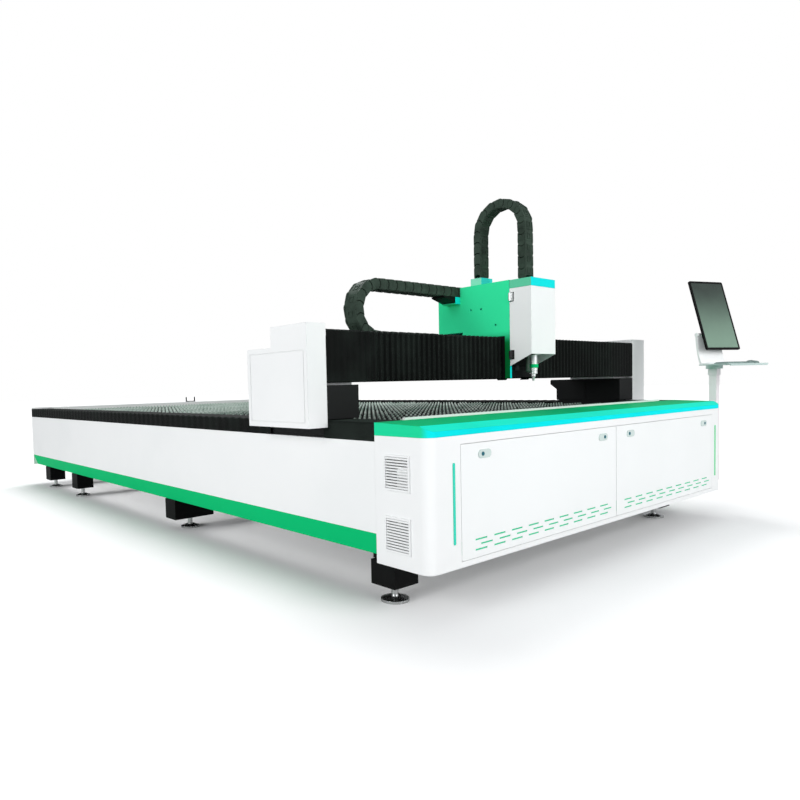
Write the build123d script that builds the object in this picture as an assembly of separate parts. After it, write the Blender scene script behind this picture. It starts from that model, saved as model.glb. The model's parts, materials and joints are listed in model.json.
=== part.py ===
from build123d import *
import math
import os

# An open-bed laser cutting machine: a welded bed on levelling feet carries a slatted table and a front cabinet.
# A gantry on covered rails carries a carriage with a lifting head, and a console stands at the right front corner.
# Millimetres, +Z up, +X across the front, +Y from the front cabinet to the rear. The floor is at height zero.

# Clearances
seat_gap = 0.3
run_gap = 2.0
side_gap = 3.0
cut_over = 5.0

# Bed
bed_length = 4540.0
bed_width = 2424.0
sheet = 4.0
bed_beam_inset = 36.0
bed_beam_width = 130.0
bed_beam_bottom = 172.0
cross_beam_height = 100.0
cross_beam_width = 120.0
cross_wall = 8.0

# Legs and levelling feet
leg_bottom = 62.0
leg_side = 120.0
long_leg_length = 240.0
left_leg_inset = 84.0
right_leg_inset = 267.0
front_leg_setback = 3.0
leg_row_setbacks = [2597.0, 980.0, 317.0]
foot_radius = 52.0
foot_rim = 9.0
foot_dome = 20.0
foot_dome_radius = 22.0
stud_radius = 13.0

# Side and rear panels
stripe_bottom = 173.0
stripe_slant = 30.0
panel_bottom = 257.0
panel_top = 584.0
top_flange = 52.0

# Guide rails and racks of the bed
bed_rail_inset = 84.0
bed_rail_width = 34.0
bed_rail_height = 28.0
bed_rack_inset = 127.0
bed_rack_width = 26.0
bed_rack_height = 26.0

# Slatted table
comb_thickness = 20.0
comb_drop = 114.0
comb_rise = 6.0
slat_drop = 44.0
slat_rise = 58.0
slat_thickness = 6.0
slat_end_gap = 6.0
slat_pitch = 128.0
slat_tooth_pitch = 190.0
slat_tooth_height = 26.0
slot_gap = 0.5
rim_thickness = 12.0
rim_rise = 76.0
rim_margin = 10.0
table_margin = 70.0
stop_x = 309.0
stop_width = 100.0
stop_height = 46.0
stop_thickness = 8.0

# Front cabinet
cabinet_depth = 249.0
cabinet_bottom = 152.0
cabinet_rise = 22.0
cabinet_corner = 40.0
cap_height = 46.0
cap_band = 20.0
cap_bevel_depth = 36.0
cap_bevel_top = 39.0
bay_left_margin = 162.0
bay_right_margin = 122.0
bay_sill = 20.0
bay_head = 30.0
mullion_x = 23.0
mullion_width = 40.0
mullion_depth = 24.0

# Front panels, latches and light strips
panel_gap = 1.5
panel_depth = 18.0
dash_length = 66.0
dash_height = 5.5
dash_pitch = 107.0
dash_row_pitch = 18.0
dash_stagger = 31.0
dash_sill = 26.0
dash_margin = 74.0
dash_rows = 3
dash_depth = 1.5
latch_drop = 42.0
left_latch_inset = 130.0
right_latch_inset = 114.0
latch_length = 72.0
latch_width = 30.0
latch_plate = 2.5
button_radius = 7.0
button_offset = 12.0
button_length = 15.0
button_proud = 2.0
strip_width = 10.0
strip_sill = 85.0
strip_head = 90.0
strip_proud = 3.0
strip_left_inset = 125.0
strip_right_inset = 84.0

# Louvred vents in the cabinet's side walls
vent_width = 122.0
vent_height = 125.0
vent_frame = 8.0
vent_thickness = 5.0
vent_setback = 108.0
vent_drops = [338.0, 124.0]
louvre_count = 11
louvre_rise_share = 0.55
louvre_blade = 2.0
louvre_bite = 1.0

# Rail bellows
rail_cover_width = 152.0
rail_cover_height = 68.0
rail_pleat_pitch = 80.0
rail_pleat_depth = 6.0
rail_cover_wall = 9.0

# Saddles
saddle_inner_inset = 154.0
saddle_front_reach = 40.0
saddle_rear_reach = 417.0
saddle_height = 131.0
saddle_lift = 32.0
saddle_clear = 4.0
saddle_foot_front_reach = 5.0
saddle_foot_rear_reach = 355.0
saddle_notch_drop = 28.0
saddle_notch_depth = 33.0
saddle_notch_reach = 374.0
skirt_thickness = 6.0
liner_thickness = 5.0
liner_reach = 179.0
liner_margin = 5.0
guide_width = 56.0
guide_length = 110.0
guide_drop = 24.0

# Gantry
beam_setback = 286.0
beam_depth = 280.0
beam_riser = 13.0
beam_height = 175.0
beam_wall = 10.0
beam_overhang = 7.0
beam_rail_depth = 20.0
beam_rail_width = 24.0
beam_rail_inset = 34.0
beam_rack_height = 24.0
beam_cover_proud = 40.0
beam_cover_drop = 4.0
beam_cover_rise = 26.0
beam_cover_lip = 38.0
beam_pleat_pitch = 27.0
beam_pleat_depth = 7.0
beam_cover_wall = 10.0

# Gantry end covers and drive units
cover_front_reach = 39.0
cover_rear_reach = 367.0
cover_step_reach = 193.0
cover_lift = 42.0
cover_rise = 47.0
cover_low_drop = 34.0
left_cover_width = 92.0
right_cover_width = 155.0
cover_wall = 3.0
hatch_margin = 20.0
hatch_groove = 3.0
hatch_depth = 1.5
drive_flange = 7.0
drive_reach = 145.0
drive_side = 76.0
drive_lift = 64.0
drive_head_room = 37.0
drive_flange_height = 120.0
gear_height = 90.0
gear_radius = 36.0

# Carriage
carriage_left = -106.0
carriage_right = 97.0
carriage_front_reach = 80.0
carriage_drop = 1.0
carriage_notch_rise = 247.0
carriage_crown = 48.0
carriage_notch_reach = 216.0
carriage_rear_reach = 361.0
carriage_arch_rise = 65.0
carriage_lip_rise = 29.0
carriage_lip_reach = 203.0
carriage_skirt_reach = 52.0
window_flange = 14.0
plate_thickness = 20.0
plate_margin = 4.0
slide_block_length = 70.0
slide_block_width = 48.0
side_hole_radius = 5.0
side_holes = [(148.0, 175.0), (86.0, 172.0), (1.0, 87.0)]
tab_width = 39.0
tab_height = 36.0
shelf_length = 85.0
shelf_thickness = 6.0
shelf_rib = 24.0

# Lifting head
lift_rail_x = 54.0
lift_rail_width = 20.0
lift_rail_depth = 12.0
lift_rail_lift = 36.0
lift_rail_head_room = 152.0
head_depth = 118.0
head_gap = 1.0
head_cap_height = 40.0
head_cap_drop = 2.0
head_cap_wall = 3.0
head_cover_front_length = 317.0
head_cover_rear_length = 370.0
head_cover_wall = 3.0
back_plate_thickness = 9.0
back_plate_lift = 4.0
back_plate_margin = 6.0
lift_block_length = 125.0
lift_block_head_room = 8.0
lift_block_side = 12.0
head_axis_depth = 61.0
head_body_radius = 34.0
head_body_head_room = 98.0
head_body_length = 222.0
stem_radius = 19.0
stem_length = 44.0
head_clamp_width = 84.0
head_clamp_height = 60.0
head_clamp_lift = 102.0
collimator_radius = 22.0
collimator_length = 65.0
ring_radius = 23.0
ring_height = 17.0
tip_radius = 19.5
tip_height = 30.0
nozzle_radius = 11.0
nozzle_tip_radius = 4.0
nozzle_height = 33.0
elbow_radius = 9.0
elbow_offset = 46.0
elbow_rise = 18.0
hinge_radius = 8.0
hinge_height = 38.0
upper_hinge_drop = 41.0
lower_hinge_rise = 53.0
hinge_notch = 24.0

# Cable chains
chain_pitch = 55.0
chain_gap = 0.8
x_chain_height = 52.0
x_chain_width = 84.0
x_chain_bend_reach = 581.0
x_chain_fixed_reach = 164.0
x_chain_overlap = 46.0
tray_floor = 4.7
tray_wall = 3.0
tray_lip = 20.0
tray_end_gap = 3.0
tray_overrun = 45.0
z_chain_height = 44.0
z_chain_left = -45.0
z_chain_right = 25.0
z_chain_radius = 130.0
z_chain_rise = 416.0
z_chain_reach = 49.0
z_foot_height = 44.0
z_foot_margin = 11.0

# Console
post_stand = 78.0
post_setback = 62.0
post_width = 46.0
post_depth = 38.0
post_wall = 3.0
post_bottom = 190.0
sleeve_margin = 4.0
sleeve_height = 36.0
spigot_radius = 16.0
spigot_height = 18.0
bracket_height = 44.0
bracket_width = 34.0
bracket_drops = [254.0, 50.0]
hub_radius = 42.0
hub_height = 24.0
console_yaw = -19.5
tray_top = 850.0
tray_width = 300.0
tray_depth = 190.0
tray_back = 21.0
tray_thickness = 5.0
tray_rim = 12.0
tray_corner = 12.0
keyboard_width = 196.0
keyboard_depth = 82.0
keyboard_height = 10.0
keyboard_front = 18.0
mouse_width = 42.0
mouse_length = 72.0
mouse_height = 18.0
item_gap = 12.0
neck_left_reach = 140.0
neck_right_reach = 42.0
neck_thickness = 9.0
neck_foot_depth = 52.0
neck_foot_start = 34.0
neck_bow = 16.0
barrel_radius = 10.0
barrel_rise = 168.0
monitor_width = 255.0
monitor_height = 413.0
monitor_thickness = 9.0
monitor_rise = 112.0
monitor_tilt = 16.7
monitor_corner = 10.0
bezel = 12.0
screen_depth = 2.0
boss_width = 62.0
boss_height = 34.0
boss_gap = 6.0

# Places worked out from the sizes above: the bed and the cabinet
half_width = bed_width / 2
front_y = -bed_length / 2
rear_y = bed_length / 2
cabinet_rear = front_y + cabinet_depth
cabinet_top = panel_top + cabinet_rise
cap_top = cabinet_top + cap_height
bed_beam_outer = half_width - bed_beam_inset
bed_beam_inner = bed_beam_outer - bed_beam_width
bed_beam_top = panel_top - sheet
panel_rear = rear_y - sheet
left_leg_x = -half_width + left_leg_inset
right_leg_x = half_width - right_leg_inset
front_leg_y = cabinet_rear - front_leg_setback
leg_rows = [rear_y - setback for setback in leg_row_setbacks]
front_beam_front = front_leg_y - leg_side / 2
front_beam_rear = front_leg_y + leg_side / 2
bed_rail_x = half_width - bed_rail_inset
bed_rack_x = half_width - bed_rack_inset
comb_bottom = panel_top - comb_drop
comb_top = panel_top + comb_rise
slat_bottom = panel_top - slat_drop
slat_top = panel_top + slat_rise
rim_top = panel_top + rim_rise
bay_left = -half_width + bay_left_margin
bay_right = half_width - bay_right_margin
bay_bottom = cabinet_bottom + bay_sill
bay_top = cabinet_top - bay_head
dash_bottom = bay_bottom + dash_sill
latch_height = bay_top - latch_drop
strip_left_x = -half_width + strip_left_inset
strip_right_x = half_width - strip_right_inset
strip_bottom = cabinet_bottom + strip_sill
strip_top = cabinet_top - strip_head
vent_y = cabinet_rear - vent_setback
vent_heights = [cabinet_top - drop for drop in vent_drops]
rail_cover_top = panel_top + rail_cover_height

# Places on the gantry
beam_front = cabinet_rear + beam_setback
beam_rear = beam_front + beam_depth
beam_end_x = half_width + beam_overhang
saddle_inner_x = half_width - saddle_inner_inset
saddle_front = beam_front - saddle_front_reach
saddle_rear = beam_front + saddle_rear_reach
saddle_foot = bed_beam_top + saddle_lift
saddle_skirt = rail_cover_top + saddle_clear
saddle_top = saddle_skirt + saddle_height
saddle_foot_front = beam_front - saddle_foot_front_reach
saddle_foot_rear = beam_front + saddle_foot_rear_reach
saddle_notch_top = saddle_top - saddle_notch_drop
saddle_notch_bottom = saddle_notch_top - saddle_notch_depth
saddle_notch_rear = beam_front + saddle_notch_reach
beam_bottom = saddle_top + beam_riser
beam_top = beam_bottom + beam_height
beam_rail_low = beam_bottom + beam_rail_inset
beam_rail_high = beam_top - beam_rail_inset
beam_cover_front = beam_front - beam_cover_proud
beam_cover_bottom = beam_bottom - beam_cover_drop
beam_cover_top = beam_top + beam_cover_rise
cover_front = beam_front - cover_front_reach
cover_rear = beam_front + cover_rear_reach
cover_step_y = beam_front + cover_step_reach
cover_bottom = panel_top + cover_lift
cover_top = beam_top + cover_rise
cover_low_top = beam_top - cover_low_drop
drive_y = beam_front + drive_reach
drive_bottom = cover_bottom + drive_lift
drive_top = cover_top - drive_head_room

# Places on the carriage and the head
carriage_front = beam_front - carriage_front_reach
carriage_bottom = beam_bottom - carriage_drop
carriage_notch_y = beam_front + carriage_notch_reach
carriage_notch_z = beam_top + carriage_notch_rise
carriage_top = carriage_notch_z + carriage_crown
carriage_rear = beam_front + carriage_rear_reach
carriage_arch = beam_top + carriage_arch_rise
carriage_lip = beam_top + carriage_lip_rise
carriage_lip_rear = beam_front + carriage_lip_reach
carriage_skirt_rear = beam_front - carriage_skirt_reach
lift_rail_bottom = carriage_bottom + lift_rail_lift
lift_rail_top = carriage_top - lift_rail_head_room
head_front = carriage_front - head_depth
head_back = carriage_front - head_gap
head_axis_x = (carriage_left + carriage_right) / 2
head_axis_y = carriage_front - head_axis_depth
head_cap_top = carriage_top - head_cap_drop
head_cap_bottom = head_cap_top - head_cap_height
head_cover_front_bottom = head_cap_bottom - head_cover_front_length
head_cover_rear_bottom = head_cap_bottom - head_cover_rear_length
back_plate_bottom = head_cover_rear_bottom + back_plate_lift
back_plate_front = carriage_front - lift_rail_depth - seat_gap - back_plate_thickness
lift_block_top = lift_rail_top - lift_block_head_room
lift_block_bottom = lift_block_top - lift_block_length
head_body_top = head_cap_bottom - head_body_head_room
head_body_bottom = head_body_top - head_body_length
stem_bottom = head_body_bottom - stem_length
head_clamp_bottom = head_body_bottom + head_clamp_lift
collimator_top = head_body_top + collimator_length
upper_hinge_z = head_cap_bottom - upper_hinge_drop
lower_hinge_z = head_cover_rear_bottom + lower_hinge_rise

# Places of the chains and the console
x_chain_front = carriage_notch_y
x_chain_rear = x_chain_front + x_chain_width
x_chain_upper = carriage_notch_z + x_chain_height / 2
x_chain_lower = beam_top + tray_floor + seat_gap + x_chain_height / 2
x_chain_radius = (x_chain_upper - x_chain_lower) / 2
x_chain_bend_x = carriage_left - x_chain_bend_reach
x_chain_fixed_x = carriage_left - x_chain_fixed_reach
x_chain_end_x = carriage_left + x_chain_overlap
tray_left = -beam_end_x + tray_end_gap
tray_right = x_chain_fixed_x + tray_overrun
z_chain_front_y = carriage_front - z_chain_reach
z_chain_mid_y = z_chain_front_y + z_chain_height / 2 + z_chain_radius
z_chain_bend_z = carriage_top + z_chain_rise - z_chain_height / 2 - z_chain_radius
post_x = half_width + post_stand
post_y = front_y + post_setback
post_top = tray_top - hub_height
bracket_heights = [cabinet_top - drop for drop in bracket_drops]
barrel_z = tray_top + barrel_rise
monitor_center_z = barrel_z + monitor_rise


def block(x0, x1, y0, y1, z0, z1):
    """A rectangular solid between six planes."""
    return Pos((x0 + x1) / 2, (y0 + y1) / 2, (z0 + z1) / 2) * Box(x1 - x0, y1 - y0, z1 - z0)


def carried_x(points, x0, x1):
    """A (y, z) outline carried along X."""
    side = Plane(origin=(x0, 0, 0), x_dir=(0, 1, 0), z_dir=(1, 0, 0))
    return extrude(side * make_face(Polyline(*points, close=True)), amount=x1 - x0)


def carried_y(points, y0, y1):
    """An (x, z) outline carried along Y."""
    back = Plane(origin=(0, y1, 0), x_dir=(1, 0, 0), z_dir=(0, -1, 0))
    return extrude(back * make_face(Polyline(*points, close=True)), amount=y1 - y0)


def mirrored(solid):
    """The same piece on the other side of the machine."""
    return mirror(solid, about=Plane.YZ)


def tube(x0, x1, y0, y1, z0, z1, wall):
    """A closed rectangular tube."""
    core = block(x0 + wall, x1 - wall, y0 + wall, y1 - wall, z0 + wall, z1 - wall)
    return block(x0, x1, y0, y1, z0, z1) - core


def upright(x, y, z0, z1, radius):
    """A vertical round bar."""
    return Pos(x, y, (z0 + z1) / 2) * Cylinder(radius, z1 - z0)


def polygon(points):
    """A flat face through its corners."""
    return Face(Wire.make_polygon(points, close=True))


def pleated_cover(ridge, valley, inner, start, end, pitch, place):
    """A cover with three walls, folded between a ridge line and a valley line and flat inside.

    The three lines are open outlines of the section. Place puts a section point at a station along the travel."""
    folds = 2 * max(1, round(abs(end - start) / pitch))
    stations = [start + (end - start) * i / folds for i in range(folds + 1)]
    lines = [valley if i % 2 else ridge for i in range(folds + 1)]
    walls = range(len(ridge) - 1)
    faces = []
    for i in range(folds):
        for k in walls:
            near = [place(lines[i][k], stations[i]), place(lines[i][k + 1], stations[i])]
            far = [place(lines[i + 1][k + 1], stations[i + 1]), place(lines[i + 1][k], stations[i + 1])]
            faces.append(polygon(near + far))
    for k in walls:
        near = [place(inner[k], start), place(inner[k + 1], start)]
        far = [place(inner[k + 1], end), place(inner[k], end)]
        faces.append(polygon(near + far))
    for k in (0, len(ridge) - 1):
        edge = [place(line[k], station) for line, station in zip(lines, stations)]
        faces.append(polygon(edge + [place(inner[k], end), place(inner[k], start)]))
    for station in (start, end):
        faces.append(polygon([place(q, station) for q in ridge] + [place(q, station) for q in reversed(inner)]))
    return Solid(Shell(faces))


def chain_path(runs):
    """Pivot points at equal steps along a path of straight runs and bends.

    Each run is its length and the turn, in radians, that it makes from its start to its end."""
    whole = sum(length for length, _ in runs)
    count = max(1, round(whole / chain_pitch))
    pivots = []
    for i in range(count + 1):
        travelled = whole * i / count
        place = Vector(0, 0)
        heading = 0.0
        for length, turn in runs:
            part = min(travelled, length)
            place, heading = along(place, heading, length, turn, part)
            travelled -= part
        pivots.append(place)
    return pivots


def along(place, heading, length, turn, travelled):
    """The point and heading after part of a run."""
    if turn == 0:
        return place + Vector(math.cos(heading), math.sin(heading)) * travelled, heading
    radius = length / turn
    after = heading + travelled / radius
    step = Vector(math.sin(after) - math.sin(heading), math.cos(heading) - math.cos(after))
    return place + step * radius, after


def link_start(height):
    """How far past its pivot a chain link begins at its upper and lower edge."""
    hollow = height / 2 + chain_gap
    return math.sqrt(hollow**2 - height**2 / 4)


def chain_links(pivots, height, width):
    """Chain links: each has a round end that turns in the hollow end of the next one."""
    hollow = height / 2 + chain_gap
    start = link_start(height)
    links = []
    for here, there in zip(pivots, pivots[1:]):
        span = (there - here).length
        upper = Line((start, height / 2), (span, height / 2))
        nose = ThreePointArc((span, height / 2), (span + height / 2, 0), (span, -height / 2))
        lower = Line((span, -height / 2), (start, -height / 2))
        socket = ThreePointArc((start, -height / 2), (hollow, 0), (start, height / 2))
        link = extrude(make_face([upper, nose, lower, socket]), amount=width)
        turn = math.degrees(math.atan2(there.Y - here.Y, there.X - here.X))
        links.append(Pos(here.X, here.Y, 0) * Rot(0, 0, turn) * link)
    return links


def bed_beams():
    """Two deep box beams under the guide rails."""
    beam = tube(
        -bed_beam_outer, -bed_beam_inner, front_beam_rear, panel_rear, bed_beam_bottom, bed_beam_top, cross_wall
    )
    return beam, mirrored(beam)


def cross_beams():
    """Cross members of the bed: one inside the cabinet and one over each row of legs."""
    low = cabinet_bottom + sheet
    front = tube(
        -bed_beam_outer, bed_beam_outer, front_beam_front, front_beam_rear,
        low, low + cross_beam_height, cross_wall,
    )
    members = [front]
    for row in leg_rows:
        y0 = row - cross_beam_width / 2
        y1 = row + cross_beam_width / 2
        top = bed_beam_bottom + cross_beam_height
        members.append(tube(-bed_beam_inner, bed_beam_inner, y0, y1, bed_beam_bottom, top, cross_wall))
    return members


def leg_places():
    """Each leg's middle, length along X and top."""
    places = [(x, front_leg_y, leg_side, cabinet_bottom) for x in (left_leg_x, right_leg_x)]
    for row in leg_rows:
        length = long_leg_length if row == leg_rows[0] else leg_side
        outer = left_leg_x - leg_side / 2
        places.append((outer + length / 2, row, length, bed_beam_bottom))
        places.append((right_leg_x, row, leg_side, bed_beam_bottom))
    return places


def legs():
    """Short square legs."""
    pieces = []
    for x, y, length, top in leg_places():
        x0 = x - length / 2
        x1 = x + length / 2
        pieces.append(tube(x0, x1, y - leg_side / 2, y + leg_side / 2, leg_bottom, top, cross_wall))
    return pieces


def levelling_feet():
    """Turned feet: a domed pad on a stud."""
    profile = [
        (0, 0),
        (foot_radius, 0),
        (foot_radius, foot_rim),
        (foot_dome_radius, foot_dome),
        (stud_radius, foot_dome),
        (stud_radius, leg_bottom),
        (0, leg_bottom),
    ]
    foot = revolve(Plane.XZ * make_face(Polyline(*profile, close=True)), axis=Axis.Z)
    return [Pos(x, y, 0) * foot for x, y, _, _ in leg_places()]


def side_panels():
    """Folded side sheets that hang on the bed beams."""
    outer = -half_width
    web = outer + sheet
    profile = [
        (outer, panel_bottom),
        (-bed_beam_outer, panel_bottom),
        (-bed_beam_outer, panel_bottom + sheet),
        (web, panel_bottom + sheet),
        (web, bed_beam_top),
        (outer + top_flange, bed_beam_top),
        (outer + top_flange, panel_top),
        (outer, panel_top),
    ]
    panel = carried_y(profile, cabinet_rear, panel_rear)
    return panel, mirrored(panel)


def kick_stripes():
    """Slanted sheets along the foot of the side panels."""
    outer = -half_width
    profile = [
        (outer, panel_bottom),
        (outer + stripe_slant, stripe_bottom),
        (outer + stripe_slant + sheet, stripe_bottom),
        (outer + sheet, panel_bottom),
    ]
    stripe = carried_y(profile, cabinet_rear, panel_rear)
    return [stripe, mirrored(stripe)]


def rear_panel():
    """A sheet across the rear, folded in over the table's rear rim."""
    profile = [
        (panel_rear, stripe_bottom),
        (rear_y, stripe_bottom),
        (rear_y, rim_top + sheet),
        (panel_rear - rim_margin, rim_top + sheet),
        (panel_rear - rim_margin, rim_top),
        (panel_rear, rim_top),
    ]
    wide = carried_x(profile, -half_width, half_width)
    fold_x = half_width - rail_cover_width
    fold_top = rim_top + sheet + cut_over
    ends = block(fold_x, half_width + cut_over, panel_rear - rim_margin, panel_rear, rim_top, fold_top)
    return wide - ends - mirrored(ends)


def bed_bars(x, width, height):
    """A pair of long bars on the tops of the bed beams."""
    bar = block(-x - width / 2, -x + width / 2, front_beam_rear, panel_rear, bed_beam_top, bed_beam_top + height)
    return [bar, mirrored(bar)]


def slat_rows():
    """Where the slats stand along the bed."""
    first = cabinet_rear + table_margin
    last = panel_rear - table_margin
    count = int((last - first) // slat_pitch) + 1
    spread = (last - first - (count - 1) * slat_pitch) / 2
    return [first + spread + i * slat_pitch for i in range(count)]


def slat_frame():
    """Two combs that hold the slats, and the table's front and rear rims."""
    half_slot = slat_thickness / 2 + slot_gap
    y0 = cabinet_rear + rim_thickness + rim_margin
    y1 = panel_rear - rim_thickness - rim_margin
    edge = [(y0, comb_bottom), (y0, comb_top)]
    for y in slat_rows():
        edge += [(y - half_slot, comb_top), (y - half_slot, slat_bottom)]
        edge += [(y + half_slot, slat_bottom), (y + half_slot, comb_top)]
    edge += [(y1, comb_top), (y1, comb_bottom)]
    comb = carried_x(edge, -bed_beam_inner, -bed_beam_inner + comb_thickness)
    front = block(-bed_beam_inner, bed_beam_inner, y0 - rim_thickness, y0, comb_bottom, rim_top)
    rear = block(-bed_beam_inner, bed_beam_inner, y1, y1 + rim_thickness, comb_bottom, rim_top)
    return [comb, mirrored(comb), front, rear]


def slats():
    """Saw-toothed blades that carry the sheet."""
    reach = bed_beam_inner - slat_end_gap
    teeth = max(1, round((reach + reach) / slat_tooth_pitch))
    step = (reach + reach) / teeth
    edge = [(-reach, slat_bottom), (reach, slat_bottom), (reach, slat_top - slat_tooth_height)]
    for i in range(teeth):
        x = reach - i * step
        edge += [(x - step / 2, slat_top), (x - step, slat_top - slat_tooth_height)]
    blade = carried_y(edge, -slat_thickness / 2, slat_thickness / 2)
    return [Pos(0, y, 0) * blade for y in slat_rows()]


def rear_stop():
    """A small channel-shaped stop on the rear rim."""
    x0 = stop_x - stop_width / 2
    x1 = stop_x + stop_width / 2
    low = rim_top + sheet
    profile = [
        (x0, low),
        (x1, low),
        (x1, low + stop_height),
        (x1 - stop_thickness, low + stop_height),
        (x1 - stop_thickness, low + stop_thickness),
        (x0 + stop_thickness, low + stop_thickness),
        (x0 + stop_thickness, low + stop_height),
        (x0, low + stop_height),
    ]
    front = panel_rear - rim_margin
    return carried_y(profile, front, rear_y)


def cabinet_outline(inset, z0, z1):
    """The cabinet's plan with rounded front corners, drawn in by an inset and open to the rear."""
    half = half_width - inset
    radius = cabinet_corner - inset
    y0 = front_y + inset
    depth = cabinet_depth - inset
    plan = Pos(0, y0 + depth / 2) * Rectangle(half + half, depth)
    plan = fillet(plan.vertices().group_by(Axis.Y)[0], radius)
    return Pos(0, 0, z0) * extrude(plan, amount=z1 - z0)


def cabinet_shell():
    """The cabinet's walls, with a bay for the front panels and vent cut-outs, their floor, and a header on a post."""
    floor_top = cabinet_bottom + sheet
    floor = cabinet_outline(0, cabinet_bottom, floor_top)
    shell = cabinet_outline(0, floor_top, cabinet_top)
    shell -= cabinet_outline(sheet, floor_top - cut_over, cabinet_top + cut_over)
    rear_cut = block(
        -half_width + sheet, half_width - sheet, cabinet_rear - sheet, cabinet_rear + cut_over,
        floor_top - cut_over, cabinet_top + cut_over,
    )
    bay = block(bay_left, bay_right, front_y - cut_over, front_y + sheet + cut_over, bay_bottom, bay_top)
    shell = shell - rear_cut - bay
    post_front = front_y + panel_depth + seat_gap
    post_rear = post_front + mullion_depth
    header_bottom = bay_top + panel_gap
    half_post = mullion_width / 2
    post = block(mullion_x - half_post, mullion_x + half_post, post_front, post_rear, floor_top, header_bottom)
    header = block(bay_left, bay_right, front_y + sheet, post_rear, header_bottom, cabinet_top)
    for z in vent_heights:
        hole = vent_hole(z)
        shell = shell - hole - mirrored(hole)
    return [shell, floor, post, header]


def vent_hole(z):
    """The cut-out behind a vent in the left wall."""
    half_y = vent_width / 2 - vent_frame
    half_z = vent_height / 2 - vent_frame
    x0 = -half_width - cut_over
    return block(x0, -half_width + sheet + cut_over, vent_y - half_y, vent_y + half_y, z - half_z, z + half_z)


def side_vents():
    """Louvred grilles, two on each side wall."""
    half_y = vent_width / 2
    inner_y = half_y - vent_frame
    inner_z = vent_height / 2 - vent_frame
    x0 = -half_width - vent_thickness
    pieces = []
    for z in vent_heights:
        frame = block(x0, -half_width, vent_y - half_y, vent_y + half_y, z - vent_height / 2, z + vent_height / 2)
        frame -= block(
            x0 - cut_over, -half_width + cut_over, vent_y - inner_y, vent_y + inner_y, z - inner_z, z + inner_z
        )
        rise = (inner_z + inner_z) / louvre_count
        slant = rise * louvre_rise_share
        for i in range(louvre_count):
            low = z - inner_z + i * rise + (rise - slant - louvre_blade) / 2
            blade = [
                (x0 + louvre_bite, low),
                (x0 + louvre_bite, low + louvre_blade),
                (-half_width - louvre_bite, low + louvre_blade + slant),
                (-half_width - louvre_bite, low + slant),
            ]
            frame += carried_y(blade, vent_y - inner_y - louvre_bite, vent_y + inner_y + louvre_bite)
        pieces += [frame, mirrored(frame)]
    return pieces


def cabinet_cap():
    """The cabinet's lid: an upright band, a bevel and a top that rises to the rear."""
    profile = [
        (cabinet_rear, cabinet_top),
        (front_y, cabinet_top),
        (front_y, cabinet_top + cap_band),
        (front_y + cap_bevel_depth, cabinet_top + cap_bevel_top),
        (cabinet_rear, cap_top),
    ]
    lid = carried_x(profile, -half_width, half_width)
    return lid & cabinet_outline(0, cabinet_top, cap_top)


def light_strips():
    """Upright light bars beside the front panels."""
    bars = []
    for x in (strip_left_x, strip_right_x):
        middle = (strip_bottom + strip_top) / 2
        face = Plane(origin=(x, front_y, middle), x_dir=(0, 0, 1), z_dir=(0, -1, 0))
        bars.append(extrude(face * SlotOverall(strip_top - strip_bottom, strip_width), amount=strip_proud))
    return bars


def latch_places(x0, x1):
    """Where the two latches of a front panel sit."""
    return [x0 + left_latch_inset, x1 - right_latch_inset]


def front_panel(x0, x1):
    """A folded front panel with rows of sunk dashes and holes for its latch buttons."""
    z0 = bay_bottom + panel_gap
    z1 = bay_top - panel_gap
    pan = block(x0, x1, front_y, front_y + panel_depth, z0, z1)
    pan -= block(x0 + sheet, x1 - sheet, front_y + sheet, front_y + panel_depth + cut_over, z0 + sheet, z1 - sheet)
    for row in range(dash_rows):
        low = dash_bottom + row * dash_row_pitch
        first = x0 + dash_margin + row % 2 * dash_stagger
        count = int((x1 - x0 - dash_margin - dash_length) // dash_pitch) + 1
        for i in range(count):
            start = first + i * dash_pitch
            pan -= block(
                start, start + dash_length, front_y - cut_over, front_y + dash_depth, low, low + dash_height
            )
    for x in button_places(x0, x1):
        pan -= button_bar(x, button_radius + seat_gap, front_y - cut_over, front_y + sheet + cut_over)
    return pan


def button_places(x0, x1):
    """Where the push buttons of a front panel's latches sit: towards the panel's ends."""
    left, right = latch_places(x0, x1)
    return [left - button_offset, right + button_offset]


def button_bar(x, radius, y0, y1):
    """A round bar through a latch, along the button's travel."""
    return Pos(x, (y0 + y1) / 2, latch_height) * Rot(90, 0, 0) * Cylinder(radius, y1 - y0)


def latch_plates(x0, x1):
    """Pill-shaped latch plates on a front panel."""
    plates = []
    for x, button_x in zip(latch_places(x0, x1), button_places(x0, x1)):
        face = Plane(origin=(x, front_y, latch_height), x_dir=(1, 0, 0), z_dir=(0, -1, 0))
        plate = extrude(face * SlotOverall(latch_length, latch_width), amount=latch_plate)
        hole_front = front_y - latch_plate - cut_over
        plate -= button_bar(button_x, button_radius + seat_gap, hole_front, front_y + cut_over)
        plates.append(plate)
    return plates


def latch_button(x):
    """The push button of a latch."""
    y0 = front_y - latch_plate - button_proud
    return button_bar(x, button_radius, y0, y0 + button_length)


def rail_cover(start, end):
    """A pair of pleated covers over the bed's guide rails."""
    outer = half_width
    inner = half_width - rail_cover_width

    def line(depth):
        top = rail_cover_top - depth
        low = panel_top + seat_gap
        return [(-outer + depth, low), (-outer + depth, top), (-inner - depth, top), (-inner - depth, low)]

    left = pleated_cover(
        line(0), line(rail_pleat_depth), line(rail_cover_wall), start, end, rail_pleat_pitch,
        lambda q, y: (q[0], y, q[1]),
    )
    return [left, mirrored(left)]


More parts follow.
